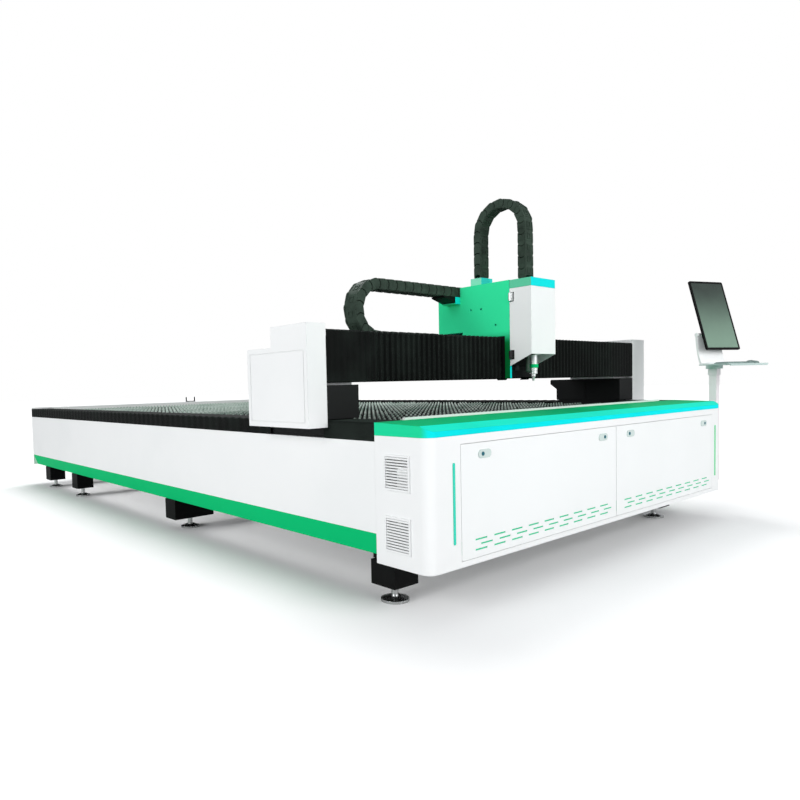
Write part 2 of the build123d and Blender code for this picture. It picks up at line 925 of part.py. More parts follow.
def beam_cover(start, end):
    """A pleated cover over the guide rails on the front of the beam."""
    def line(depth):
        front = beam_cover_front + depth
        back = beam_cover_front + beam_cover_lip
        low = beam_cover_bottom + depth
        high = beam_cover_top - depth
        return [(back, low), (front, low), (front, high), (back, high)]

    return pleated_cover(
        line(0), line(beam_pleat_depth), line(beam_cover_wall), start, end, beam_pleat_pitch,
        lambda q, x: (x, q[0], q[1]),
    )


def gantry_beam():
    """The gantry's box beam."""
    return tube(-beam_end_x, beam_end_x, beam_front, beam_rear, beam_bottom, beam_top, beam_wall)


def beam_rails():
    """Two guide rails on the beam's front face."""
    y0 = beam_front - beam_rail_depth
    half = beam_rail_width / 2
    rows = (beam_rail_low, beam_rail_high)
    return [block(-beam_end_x, beam_end_x, y0, beam_front, z - half, z + half) for z in rows]


def beam_rack():
    """The rack bar between the beam's guide rails."""
    mid = (beam_rail_low + beam_rail_high) / 2
    half = beam_rack_height / 2
    return block(-beam_end_x, beam_end_x, beam_front - beam_rail_depth, beam_front, mid - half, mid + half)


def left_saddle():
    """The left saddle: a stepped casting with guide blocks and skirts at the rail and a pad under the beam."""
    profile = [
        (saddle_front, saddle_top),
        (beam_front, saddle_top),
        (beam_front, beam_bottom),
        (beam_rear, beam_bottom),
        (beam_rear, saddle_top),
        (saddle_rear, saddle_top),
        (saddle_rear, saddle_notch_top),
        (saddle_notch_rear, saddle_notch_bottom),
        (saddle_notch_rear, saddle_skirt),
        (saddle_foot_rear, saddle_skirt),
        (saddle_foot_rear, saddle_foot),
        (saddle_foot_front, saddle_foot),
        (saddle_foot_front, saddle_skirt),
        (saddle_front, saddle_skirt),
    ]
    body = carried_x(profile, -beam_end_x, -saddle_inner_x)
    skirt_x = -half_width + rail_cover_wall
    body -= block(
        -beam_end_x - cut_over, skirt_x, saddle_front - cut_over, saddle_rear + cut_over, 0, saddle_skirt
    )
    inner_x = -half_width + rail_cover_width
    body -= block(
        inner_x, -saddle_inner_x + cut_over, saddle_front - cut_over, saddle_rear + cut_over, 0, saddle_skirt
    )
    rail_half = bed_rail_width / 2 + seat_gap
    rail_top = bed_beam_top + bed_rail_height + seat_gap
    for y0 in (saddle_foot_front, saddle_foot_rear - guide_length):
        guide = block(
            -bed_rail_x - guide_width / 2, -bed_rail_x + guide_width / 2, y0, y0 + guide_length,
            saddle_foot - guide_drop, saddle_foot,
        )
        body += guide
    skirt_z = panel_top + saddle_clear
    for x0 in (skirt_x, inner_x - skirt_thickness):
        body += block(x0, x0 + skirt_thickness, saddle_foot_front, saddle_foot_rear, skirt_z, saddle_foot)
    liner = [
        (beam_front + liner_reach, saddle_skirt + liner_margin),
        (beam_front + liner_reach, saddle_top - liner_margin),
        (saddle_rear, saddle_top - liner_margin),
        (saddle_rear, saddle_notch_top),
        (saddle_notch_rear, saddle_notch_bottom),
        (saddle_notch_rear, saddle_skirt + liner_margin),
    ]
    body += carried_x(liner, -saddle_inner_x, -saddle_inner_x + liner_thickness)
    body -= block(
        -bed_rail_x - rail_half, -bed_rail_x + rail_half,
        saddle_foot_front - cut_over, saddle_foot_rear + cut_over,
        0, rail_top,
    )
    return body


def cover_profile(inset):
    """The stepped side outline of an end cover, drawn in by an inset."""
    return [
        (cover_front + inset, cover_bottom + inset),
        (cover_front + inset, cover_top - inset),
        (cover_step_y - inset, cover_top - inset),
        (cover_step_y - inset, cover_low_top - inset),
        (cover_rear - inset, cover_low_top - inset),
        (cover_rear - inset, cover_bottom + inset),
    ]


def end_cover(width):
    """A gantry end cover on the left: a stepped hollow box with a window to the drive and a hatch in its side."""
    inner_x = -beam_end_x - seat_gap
    outer_x = inner_x - width
    cover = carried_x(cover_profile(0), outer_x, inner_x)
    cover -= carried_x(cover_profile(cover_wall), outer_x + cover_wall, inner_x - cover_wall)
    cover -= block(
        inner_x - cover_wall - cut_over, inner_x + cut_over, drive_y - drive_side, drive_y + drive_side,
        drive_bottom - hatch_margin, drive_top - hatch_margin,
    )
    cover -= hatch_groove_ring(outer_x)
    return cover


def hatch_groove_ring(outer_x):
    """The joint line round the access hatch of an end cover."""
    def plate(inset):
        return block(
            outer_x - cut_over, outer_x + hatch_depth, cover_front + inset, cover_rear - inset,
            cover_bottom + inset, cover_low_top - inset,
        )

    return plate(hatch_margin) - plate(hatch_margin + hatch_groove)


def drive_unit():
    """The left gantry motor: a flange on the saddle, a round gearbox and a square motor."""
    flange_x = -beam_end_x - drive_flange
    flange = block(
        flange_x, -beam_end_x, drive_y - drive_side / 2, drive_y + drive_side / 2, drive_bottom,
        drive_bottom + drive_flange_height,
    )
    mid_x = flange_x - drive_side / 2
    gearbox = upright(mid_x, drive_y, drive_bottom, drive_bottom + gear_height, gear_radius)
    body = block(
        flange_x - drive_side, flange_x, drive_y - drive_side / 2, drive_y + drive_side / 2,
        drive_bottom + gear_height, drive_top,
    )
    return flange + gearbox + body


def housing_profile():
    """The carriage housing's side outline: a skirt before the beam, a lip over it and an arch over the tray."""
    return [
        (carriage_front, carriage_bottom),
        (carriage_front, carriage_top),
        (carriage_notch_y, carriage_top),
        (carriage_notch_y, carriage_notch_z),
        (carriage_rear, carriage_notch_z),
        (carriage_rear, carriage_arch),
        (carriage_lip_rear, carriage_arch),
        (carriage_lip_rear, carriage_lip),
        (carriage_skirt_rear, carriage_lip),
        (carriage_skirt_rear, carriage_bottom),
    ]


def housing_room():
    """The side outline of the room inside the housing, open below."""
    low = carriage_bottom - cut_over
    return [
        (carriage_front + sheet, low),
        (carriage_front + sheet, carriage_top - sheet),
        (carriage_notch_y - sheet, carriage_top - sheet),
        (carriage_notch_y - sheet, carriage_notch_z - sheet),
        (carriage_rear - sheet, carriage_notch_z - sheet),
        (carriage_rear - sheet, low),
    ]


def carriage_housing():
    """The housing that reaches over the beam, with a window for the plate and a tab for the chain bracket."""
    housing = carried_x(housing_profile(), carriage_left, carriage_right)
    housing -= carried_x(housing_room(), carriage_left + sheet, carriage_right - sheet)
    housing -= block(
        carriage_left + window_flange, carriage_right - window_flange, carriage_front - cut_over,
        carriage_front + sheet + cut_over, carriage_bottom - cut_over, carriage_notch_z,
    )
    for reach_y, rise in side_holes:
        place = Pos(carriage_left, beam_front + reach_y, beam_top + rise)
        housing -= place * Rot(0, 90, 0) * Cylinder(side_hole_radius, cut_over + cut_over)
    tab = block(
        carriage_left - tab_width, carriage_left, x_chain_front, x_chain_rear, carriage_notch_z - tab_height,
        carriage_notch_z,
    )
    return housing + tab


def chain_bracket():
    """The shelf under the moving end of the beam's chain, with a rib below it."""
    x1 = carriage_left - tab_width
    x0 = x1 - shelf_length
    low = carriage_notch_z - shelf_thickness
    profile = [
        (x0, low),
        (x1, low - shelf_rib),
        (x1, carriage_notch_z),
        (x0, carriage_notch_z),
    ]
    return carried_y(profile, x_chain_front, x_chain_rear)


def carriage_plate():
    """The carriage's plate, flush in the housing's window, with four guide blocks on the beam's rails."""
    back = carriage_front + sheet + plate_thickness
    x0 = carriage_left + sheet
    x1 = carriage_right - sheet
    plate = block(x0, x1, carriage_front + sheet, back, carriage_bottom + plate_margin, carriage_top - sheet)
    inset = window_flange + seat_gap
    plate += block(
        carriage_left + inset, carriage_right - inset, carriage_front, carriage_front + sheet,
        carriage_bottom + plate_margin, carriage_notch_z - seat_gap,
    )
    pieces = [plate]
    rail_front = beam_front - beam_rail_depth
    half_rail = beam_rail_width / 2 + seat_gap
    half = slide_block_width / 2
    for z in (beam_rail_low, beam_rail_high):
        for start in (x0, x1 - slide_block_length):
            end = start + slide_block_length
            piece = block(start, end, back, beam_front - run_gap, z - half, z + half)
            piece -= block(
                start - cut_over, end + cut_over, rail_front - seat_gap, beam_front + cut_over, z - half_rail,
                z + half_rail,
            )
            pieces.append(piece)
    return pieces


def lift_rails():
    """Two upright rails on the carriage's front for the lifting head."""
    half = lift_rail_width / 2
    rails = []
    for x in (head_axis_x - lift_rail_x, head_axis_x + lift_rail_x):
        y0 = carriage_front - lift_rail_depth
        rails.append(block(x - half, x + half, y0, carriage_front, lift_rail_bottom, lift_rail_top))
    return rails


def z_chain_foot():
    """The block on the housing that holds the fixed end of the upright chain."""
    mid_y = z_chain_mid_y + z_chain_radius
    half = z_chain_height / 2 + z_foot_margin
    top = carriage_top + z_foot_height
    x0 = z_chain_left - z_foot_margin
    return block(x0, z_chain_right + z_foot_margin, mid_y - half, mid_y + half, carriage_top, top)


def z_chain():
    """The upright chain: from its foot on the housing, over a half turn and down to the head's cap."""
    low = carriage_top + z_foot_height + seat_gap - link_start(z_chain_height)
    end = head_cap_top + z_chain_height / 2 + seat_gap
    half_turn = math.pi * z_chain_radius
    pivots = chain_path([(z_chain_bend_z - low, 0), (half_turn, math.pi), (z_chain_bend_z - end, 0)])
    links = chain_links(pivots, z_chain_height, z_chain_right - z_chain_left)
    start = Plane(origin=(z_chain_left, z_chain_mid_y + z_chain_radius, low), x_dir=(0, 0, 1), z_dir=(1, 0, 0))
    return [start * link for link in links]


def x_chain():
    """The beam's chain: along its tray, round a half turn and back to the carriage."""
    half_turn = math.pi * x_chain_radius
    lower = x_chain_fixed_x - x_chain_bend_x
    upper = x_chain_end_x - x_chain_height / 2 - x_chain_bend_x
    pivots = chain_path([(lower, 0), (half_turn, math.pi), (upper, 0)])
    links = chain_links(pivots, x_chain_height, x_chain_rear - x_chain_front)
    start = Plane(origin=(x_chain_fixed_x, x_chain_front, x_chain_lower), x_dir=(-1, 0, 0), z_dir=(0, 1, 0))
    return [start * link for link in links]


def chain_tray():
    """A channel on the beam that carries the lower run of its chain."""
    low = beam_top + tray_floor
    y0 = x_chain_front - run_gap
    y1 = x_chain_rear + run_gap
    profile = [
        (y0 - tray_wall, beam_top),
        (y1 + tray_wall, beam_top),
        (y1 + tray_wall, low + tray_lip),
        (y1, low + tray_lip),
        (y1, low),
        (y0, low),
        (y0, low + tray_lip),
        (y0 - tray_wall, low + tray_lip),
    ]
    return carried_x(profile, tray_left, tray_right)


def head_back_plate():
    """The head's back plate, with blocks that run on the lift rails."""
    back = back_plate_front + back_plate_thickness
    x0 = carriage_left + head_cover_wall + back_plate_margin
    x1 = carriage_right - head_cover_wall - back_plate_margin
    plate = block(x0, x1, back_plate_front, back, back_plate_bottom, head_cap_bottom)
    for x in (head_axis_x - lift_rail_x, head_axis_x + lift_rail_x):
        inner = lift_rail_width / 2 + seat_gap
        for side in (-1, 1):
            x_a = x + side * inner
            x_b = x + side * (inner + lift_block_side)
            plate += block(min(x_a, x_b), max(x_a, x_b), back, head_back, lift_block_bottom, lift_block_top)
    return plate


def head_cap():
    """The cap on top of the head box, with a slot for the upright chain and a tongue behind it."""
    cap = block(carriage_left, carriage_right, head_front, head_back, head_cap_bottom, head_cap_top)
    cap -= block(
        carriage_left + head_cap_wall, carriage_right - head_cap_wall, head_front + head_cap_wall,
        head_back + cut_over, head_cap_bottom - cut_over, head_cap_top - head_cap_wall,
    )
    seat = block(
        carriage_left + head_cap_wall, carriage_right - head_cap_wall, back_plate_front,
        back_plate_front + back_plate_thickness, head_cap_bottom, head_cap_top - head_cap_wall,
    )
    return cap + seat


def head_cover_profile(inset):
    """The side outline of the head cover: a tall box with a slanted foot."""
    return [
        (head_front + inset, head_cover_front_bottom),
        (head_back, head_cover_rear_bottom),
        (head_back, head_cap_bottom - seat_gap),
        (head_front + inset, head_cap_bottom - seat_gap),
    ]


def head_cover():
    """The hinged cover of the head: two sides and a front, open elsewhere and notched at its hinges."""
    cover = carried_x(head_cover_profile(0), carriage_left, carriage_right)
    cover -= block(
        carriage_left + head_cover_wall, carriage_right - head_cover_wall, head_front + head_cover_wall,
        head_back + cut_over, head_cover_rear_bottom - cut_over, head_cap_bottom + cut_over,
    )
    half = hinge_height / 2 + side_gap
    for z in (upper_hinge_z, lower_hinge_z):
        cover -= block(
            carriage_left - cut_over, carriage_left + head_cover_wall + cut_over, head_back - hinge_notch,
            head_back + cut_over, z - half, z + half,
        )
    return cover


def cover_hinges():
    """Two hinges at the left rear edge of the head cover, each a knuckle on an arm from the back plate."""
    arm_rear = back_plate_front + back_plate_thickness
    knuckle_x = carriage_left - hinge_radius - seat_gap
    plate_x = carriage_left + head_cover_wall + back_plate_margin
    pieces = []
    for z in (upper_hinge_z, lower_hinge_z):
        z0 = z - hinge_height / 2
        z1 = z + hinge_height / 2
        knuckle = upright(knuckle_x, head_back - hinge_radius, z0, z1, hinge_radius)
        pieces.append(knuckle + block(knuckle_x, plate_x, back_plate_front, arm_rear, z0, z1))
    return pieces


def cutting_head():
    """The turned head body in its clamp, with the fibre connector above it, a stem below it and a gas pipe."""
    body = upright(head_axis_x, head_axis_y, head_body_bottom, head_body_top, head_body_radius)
    body += upright(head_axis_x, head_axis_y, head_body_top, collimator_top, collimator_radius)
    body += upright(head_axis_x, head_axis_y, stem_bottom, head_body_bottom, stem_radius)
    half = head_clamp_width / 2
    body += block(
        head_axis_x - half, head_axis_x + half, head_axis_y, back_plate_front, head_clamp_bottom,
        head_clamp_bottom + head_clamp_height,
    )
    return body + gas_pipe()


def gas_pipe():
    """A bent pipe from the side of the head body down to the head's collar."""
    pipe_x = head_axis_x - elbow_offset
    low = stem_bottom - ring_height - tip_height / 2
    high = head_body_bottom + elbow_rise
    pipe = upright(pipe_x, head_axis_y, low, high, elbow_radius)
    collar_x = head_axis_x - tip_radius - seat_gap
    for z, end in ((low, collar_x), (high, head_axis_x)):
        arm = Pos((pipe_x + end) / 2, head_axis_y, z) * Rot(0, 90, 0) * Cylinder(elbow_radius, end - pipe_x)
        pipe = pipe + arm + Pos(pipe_x, head_axis_y, z) * Sphere(elbow_radius)
    return pipe


def sensor_ring():
    """The coloured ring below the head's stem."""
    return upright(head_axis_x, head_axis_y, stem_bottom - ring_height, stem_bottom, ring_radius)


def nozzle():
    """The head's collar and nozzle tip."""
    top = stem_bottom - ring_height
    low = top - tip_height
    profile = [
        (0, top),
        (tip_radius, top),
        (tip_radius, low),
        (nozzle_radius, low),
        (nozzle_tip_radius, low - nozzle_height),
        (0, low - nozzle_height),
    ]
    turned = revolve(Plane.XZ * make_face(Polyline(*profile, close=True)), axis=Axis.Z)
    return Pos(head_axis_x, head_axis_y, 0) * turned


def console_place():
    """The console's own frame: its X is across the tray and its Y points away from the operator."""
    return Pos(post_x, post_y, 0) * Rot(0, 0, console_yaw)


def console_post():
    """The square post with a sleeve and a spigot at its top, held to the cabinet's right wall by two arms."""
    x0 = post_x - post_width / 2
    x1 = post_x + post_width / 2
    y0 = post_y - post_depth / 2
    y1 = post_y + post_depth / 2
    post = block(x0, x1, y0, y1, post_bottom, post_top)
    post += block(
        x0 - sleeve_margin, x1 + sleeve_margin, y0 - sleeve_margin, y1 + sleeve_margin, post_top - sleeve_height,
        post_top,
    )
    post -= block(
        x0 + post_wall, x1 - post_wall, y0 + post_wall, y1 - post_wall,
        post_bottom + post_wall, post_top - post_wall,
    )
    post += upright(post_x, post_y, post_top - post_wall, post_top + spigot_height, spigot_radius)
    for z in bracket_heights:
        half_bracket = bracket_width / 2
        post += block(half_width, x0, post_y - half_bracket, post_y + half_bracket, z, z + bracket_height)
    return post


def console_tray():
    """The tray with a hub under its rear edge, which turns on the post's spigot."""
    y0 = -tray_back - tray_depth
    plan = Pos(0, (y0 - tray_back) / 2) * RectangleRounded(tray_width, tray_depth, tray_corner)
    tray = Pos(0, 0, tray_top - tray_thickness) * extrude(plan, amount=tray_thickness)
    half = tray_width / 2 - tray_corner
    tray += block(-half, half, y0, y0 + tray_thickness, tray_top - tray_rim, tray_top)
    tray += upright(0, 0, post_top + seat_gap, tray_top, hub_radius)
    tray -= upright(0, 0, post_top - cut_over, post_top + spigot_height + seat_gap, spigot_radius + seat_gap)
    return console_place() * tray


def keyboard():
    """The keyboard on the tray."""
    y0 = -tray_back - tray_depth + keyboard_front
    x0 = -tray_width / 2 + item_gap
    keys = block(x0, x0 + keyboard_width, y0, y0 + keyboard_depth, tray_top, tray_top + keyboard_height)
    keys = chamfer(keys.edges().group_by(Axis.Z)[-1], keyboard_height / 4)
    return console_place() * keys


def mouse():
    """The mouse beside the keyboard."""
    y0 = -tray_back - tray_depth + keyboard_front
    x0 = -tray_width / 2 + item_gap + keyboard_width + item_gap
    shell = block(x0, x0 + mouse_width, y0, y0 + mouse_length, tray_top, tray_top + mouse_height)
    shell = chamfer(shell.edges().group_by(Axis.Z)[-1], mouse_height / 2, mouse_height / 3)
    return console_place() * shell


def monitor_bracket():
    """The bowed neck that stands on the tray and carries the monitor on a barrel."""
    foot = -neck_foot_start
    waist = (tray_top + barrel_z) / 2
    half = neck_thickness / 2
    outline = [
        Line((foot - neck_foot_depth, tray_top), (foot + neck_thickness, tray_top)),
        ThreePointArc((foot + neck_thickness, tray_top), (half - neck_bow / 2, waist), (half, barrel_z)),
        Line((half, barrel_z), (-half, barrel_z)),
        ThreePointArc((-half, barrel_z), (-half - neck_bow / 2, waist), (foot, tray_top + neck_thickness)),
        Line((foot, tray_top + neck_thickness), (foot - neck_foot_depth, tray_top + neck_thickness)),
        Line((foot - neck_foot_depth, tray_top + neck_thickness), (foot - neck_foot_depth, tray_top)),
    ]
    width = neck_left_reach + neck_right_reach
    middle = (neck_right_reach - neck_left_reach) / 2
    side = Plane(origin=(-neck_left_reach, 0, 0), x_dir=(0, 1, 0), z_dir=(1, 0, 0))
    neck = extrude(side * make_face(outline), amount=width)
    neck += Pos(middle, 0, barrel_z) * Rot(0, 90, 0) * Cylinder(barrel_radius, width)
    return console_place() * neck


def monitor_place():
    """The monitor's own frame, in the plane of its front: Y points out of its back and Z runs up its height."""
    return console_place() * Pos(0, 0, monitor_center_z) * Rot(-monitor_tilt, 0, 0)


def monitor():
    """The monitor's casing, with a recess for the screen and a boss that turns on the neck's barrel."""
    front = Plane(origin=(0, 0, 0), x_dir=(1, 0, 0), z_dir=(0, 1, 0))
    outline = RectangleRounded(monitor_width, monitor_height, monitor_corner)
    slab = extrude(front * outline, amount=monitor_thickness)
    x1 = monitor_width / 2 - bezel
    z1 = monitor_height / 2 - bezel
    slab -= block(-x1, x1, -cut_over, screen_depth, -z1, z1)
    drop = monitor_center_z - barrel_z
    tilt = math.radians(monitor_tilt)
    barrel_y = drop * math.sin(tilt)
    barrel_height = -drop * math.cos(tilt)
    boss = block(
        -boss_width / 2, boss_width / 2, monitor_thickness, barrel_y - boss_gap, barrel_height - boss_height / 2,
        barrel_height + boss_height / 2,
    )
    barrel_room = Cylinder(barrel_radius + seat_gap, boss_width + cut_over)
    boss -= Pos(0, barrel_y, barrel_height) * Rot(0, 90, 0) * barrel_room
    return monitor_place() * (slab + boss)


def screen():
    """The glass in the monitor's recess."""
    x1 = monitor_width / 2 - bezel - seat_gap
    z1 = monitor_height / 2 - bezel - seat_gap
    return monitor_place() * block(-x1, x1, 0, screen_depth, -z1, z1)


def assembly():
    """Every piece by its name."""
    left_x = (bay_left + panel_gap, mullion_x - panel_gap)
    right_x = (mullion_x + panel_gap, bay_right - panel_gap)
    pieces = {}
    pieces["left_bed_beam"], pieces["right_bed_beam"] = bed_beams()
    pieces["cross_beams"] = cross_beams()
    pieces["legs"] = legs()
    pieces["levelling_feet"] = levelling_feet()
    pieces["left_side_panel"], pieces["right_side_panel"] = side_panels()
    pieces["kick_stripes"] = kick_stripes()
    pieces["rear_panel"] = rear_panel()
    pieces["bed_rails"] = bed_bars(bed_rail_x, bed_rail_width, bed_rail_height)
    pieces["bed_racks"] = bed_bars(bed_rack_x, bed_rack_width, bed_rack_height)
    pieces["slat_frame"] = slat_frame()
    pieces["slats"] = slats()
    pieces["rear_stop"] = rear_stop()
    pieces["cabinet_shell"] = cabinet_shell()
    pieces["cabinet_cap"] = cabinet_cap()
    pieces["light_strips"] = light_strips()
    pieces["side_vents"] = side_vents()
    for side, span in (("left", left_x), ("right", right_x)):
        pieces[f"{side}_front_panel"] = front_panel(*span)
        pieces[f"{side}_latch_plates"] = latch_plates(*span)
        for number, x in enumerate(button_places(*span), 1):
            pieces[f"{side}_latch_button_{number}"] = latch_button(x)
    pieces["front_rail_bellows"] = rail_cover(cabinet_rear, saddle_foot_front - seat_gap)
    pieces["rear_rail_bellows"] = rail_cover(saddle_foot_rear + seat_gap, panel_rear)
    pieces["gantry_beam"] = gantry_beam()
    pieces["beam_rails"] = beam_rails()
    pieces["beam_rack"] = beam_rack()
    pieces["left_saddle"] = left_saddle()
    pieces["right_saddle"] = mirrored(left_saddle())
    pieces["left_end_cover"] = end_cover(left_cover_width)
    pieces["right_end_cover"] = mirrored(end_cover(right_cover_width))
    pieces["drive_units"] = [drive_unit(), mirrored(drive_unit())]
    pieces["left_beam_bellows"] = beam_cover(-beam_end_x, carriage_left - seat_gap)
    pieces["right_beam_bellows"] = beam_cover(carriage_right + seat_gap, beam_end_x)
    pieces["x_chain"] = x_chain()
    pieces["chain_tray"] = chain_tray()
    pieces["carriage_housing"] = carriage_housing()
    pieces["carriage_plate"] = carriage_plate()
    pieces["lift_rails"] = lift_rails()
    pieces["chain_bracket"] = chain_bracket()
    pieces["z_chain_foot"] = z_chain_foot()
    pieces["z_chain"] = z_chain()
    pieces["head_back_plate"] = head_back_plate()
    pieces["head_cap"] = head_cap()
    pieces["cutting_head"] = cutting_head()
    pieces["sensor_ring"] = sensor_ring()
    pieces["nozzle"] = nozzle()
    pieces["cover_hinges"] = cover_hinges()
    pieces["head_cover"] = head_cover()
    pieces["console_post"] = console_post()
    pieces["console_tray"] = console_tray()
    pieces["keyboard"] = keyboard()
    pieces["mouse"] = mouse()
    pieces["monitor_bracket"] = monitor_bracket()
    pieces["monitor"] = monitor()
    pieces["screen"] = screen()
    return {name: Compound(children=group(piece)) for name, piece in pieces.items()}


def group(piece):
    """The separate solids of a piece or of a list of pieces."""
    members = piece if isinstance(piece, list) else [piece]
    return [solid for member in members for solid in member.solids()]


machine = assembly()

# The origin is on the floor, below the middle of the whole machine.
reach = Compound(children=[Compound(solids.wrapped) for solids in machine.values()]).bounding_box()
origin_shift = Vector(-(reach.min.X + reach.max.X) / 2, -(reach.min.Y + reach.max.Y) / 2, 0)

os.makedirs("parts", exist_ok=True)
for name, solids in machine.items():
    export_step(Pos(origin_shift) * solids, f"parts/{name}.step")
print(len(machine), "pieces, origin shift", origin_shift)
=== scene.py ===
# %% [markdown]
# # An open-bed laser cutting machine
# The solids come from the packed frame, already in metres and in place. This script dresses them: it gives every
# solid a procedural material and builds the pieces whose detail is too fine for the solids. Those are the folded
# covers, the sawn slats, the cable chains, the turned cutting head and the desk items.

# %% Load the frame
import json

import bmesh
import bpy
import numpy as np
from mathutils import Matrix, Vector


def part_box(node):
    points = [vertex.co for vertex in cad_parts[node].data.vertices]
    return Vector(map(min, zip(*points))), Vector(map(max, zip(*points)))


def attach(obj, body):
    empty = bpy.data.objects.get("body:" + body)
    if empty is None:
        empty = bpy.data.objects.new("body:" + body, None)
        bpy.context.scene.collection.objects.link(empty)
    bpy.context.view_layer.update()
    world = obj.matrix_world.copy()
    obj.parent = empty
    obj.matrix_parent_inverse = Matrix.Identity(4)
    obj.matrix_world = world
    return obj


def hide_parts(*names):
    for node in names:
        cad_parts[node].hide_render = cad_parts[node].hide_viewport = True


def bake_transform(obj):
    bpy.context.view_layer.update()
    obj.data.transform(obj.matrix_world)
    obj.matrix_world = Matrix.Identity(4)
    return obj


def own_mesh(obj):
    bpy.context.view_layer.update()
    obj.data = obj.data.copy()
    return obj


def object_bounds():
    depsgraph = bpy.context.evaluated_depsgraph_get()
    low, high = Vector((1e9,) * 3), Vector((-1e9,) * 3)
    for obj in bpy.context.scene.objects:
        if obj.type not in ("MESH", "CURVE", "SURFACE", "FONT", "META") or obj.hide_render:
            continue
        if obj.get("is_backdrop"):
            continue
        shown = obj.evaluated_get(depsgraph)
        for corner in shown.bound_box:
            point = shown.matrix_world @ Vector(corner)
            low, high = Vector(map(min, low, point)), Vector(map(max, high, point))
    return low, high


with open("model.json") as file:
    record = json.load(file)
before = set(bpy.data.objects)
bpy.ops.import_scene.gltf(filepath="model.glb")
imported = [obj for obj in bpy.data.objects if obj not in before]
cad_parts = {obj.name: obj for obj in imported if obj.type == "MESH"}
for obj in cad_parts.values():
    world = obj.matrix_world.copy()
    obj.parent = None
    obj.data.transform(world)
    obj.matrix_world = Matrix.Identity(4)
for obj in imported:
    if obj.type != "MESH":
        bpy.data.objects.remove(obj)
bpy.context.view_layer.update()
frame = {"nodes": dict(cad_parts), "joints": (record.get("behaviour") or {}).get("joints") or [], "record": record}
record = frame["record"]


def corners(node):
    """The lowest and highest corner of a CAD node, as arrays."""
    low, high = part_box(node)
    return np.array(low), np.array(high)


def joint(name):
    """The frame's facts about one joint."""
    return [j for j in frame["joints"] if j["name"] == name][0]


# %% [markdown]
# ## Shapes as arrays
# A mesh is a list of points and a list of faces that number them. Pieces like these could be modelled by hand in
# edit mode, or stacked from modifiers. Here numpy works out a whole table of points from a formula, and a grid skins
# it, so that a fold or a tooth is one number that can be changed. A shape is a pair: its points and its faces.

# %% Skins
def grid(points, closed=False, capped=False):
    """A skin over a table of points: each cell of four neighbours is a face. A closed grid joins its last column to
    its first, and a capped one also gets a face at each end."""
    rows, columns = points.shape[:2]
    index = np.arange(rows * columns).reshape(rows, columns)
    if closed:
        index = np.concatenate([index, index[:, :1]], axis=1)
    cells = np.stack([index[:-1, :-1], index[:-1, 1:], index[1:, 1:], index[1:, :-1]], axis=-1)
    faces = cells.reshape(-1, 4).tolist()
    if capped:
        faces += [index[0, :columns][::-1].tolist(), index[-1, :columns].tolist()]
    return points.reshape(-1, 3), faces


def merged(*shapes):
    """Several shapes as one: the faces of each count on from the points of those before it."""
    points, faces, count = [], [], 0
    for p, f in shapes:
        points.append(p)
        faces += [[i + count for i in face] for face in f]
        count += len(p)
    return np.concatenate(points), faces


print("a table of 3 by 4 points has", len(grid(np.zeros((3, 4, 3)))[1]), "faces")

# %% [markdown]
# A mesh is only data. An object shows it in the scene, with a material and a name.
# Points that coincide, as at the top of a dome, could be welded by hand in edit mode, and faces turned there too. A
# bmesh does both for every piece, so no shape has to mind which way its faces were numbered.

# %% Mesh objects
weld = 1e-6


def piece(name, shape, material, smooth=None):
    """A mesh object from a shape. Points that coincide are welded, then the faces are turned outwards. Edges sharper
    than the given angle in degrees stay crisp."""
    points, faces = shape
    mesh = bpy.data.meshes.new(name)
    mesh.from_pydata(points.tolist(), [], faces)
    work = bmesh.new()
    work.from_mesh(mesh)
    bmesh.ops.remove_doubles(work, verts=work.verts, dist=weld)
    bmesh.ops.recalc_face_normals(work, faces=work.faces)
    work.to_mesh(mesh)
    work.free()
    obj = bpy.data.objects.new(name, mesh)
    bpy.context.scene.collection.objects.link(obj)
    mesh.materials.append(material)
    if smooth is not None:
        mesh.shade_smooth()
        mesh.set_sharp_from_angle(angle=np.radians(smooth))
    print(name, "has", len(mesh.vertices), "points and", len(mesh.polygons), "faces")
    return obj


print("points within", weld, "m are welded")

# %% [markdown]
# ## Shader maths
# A finish is a small graph of nodes. It could be wired by hand in the shader editor. In a script the wiring soon
# hides the idea, so a small class wraps a node's output: a sum of outputs is then written as a sum, and each sign
# adds a Math node. One method adds any other node.

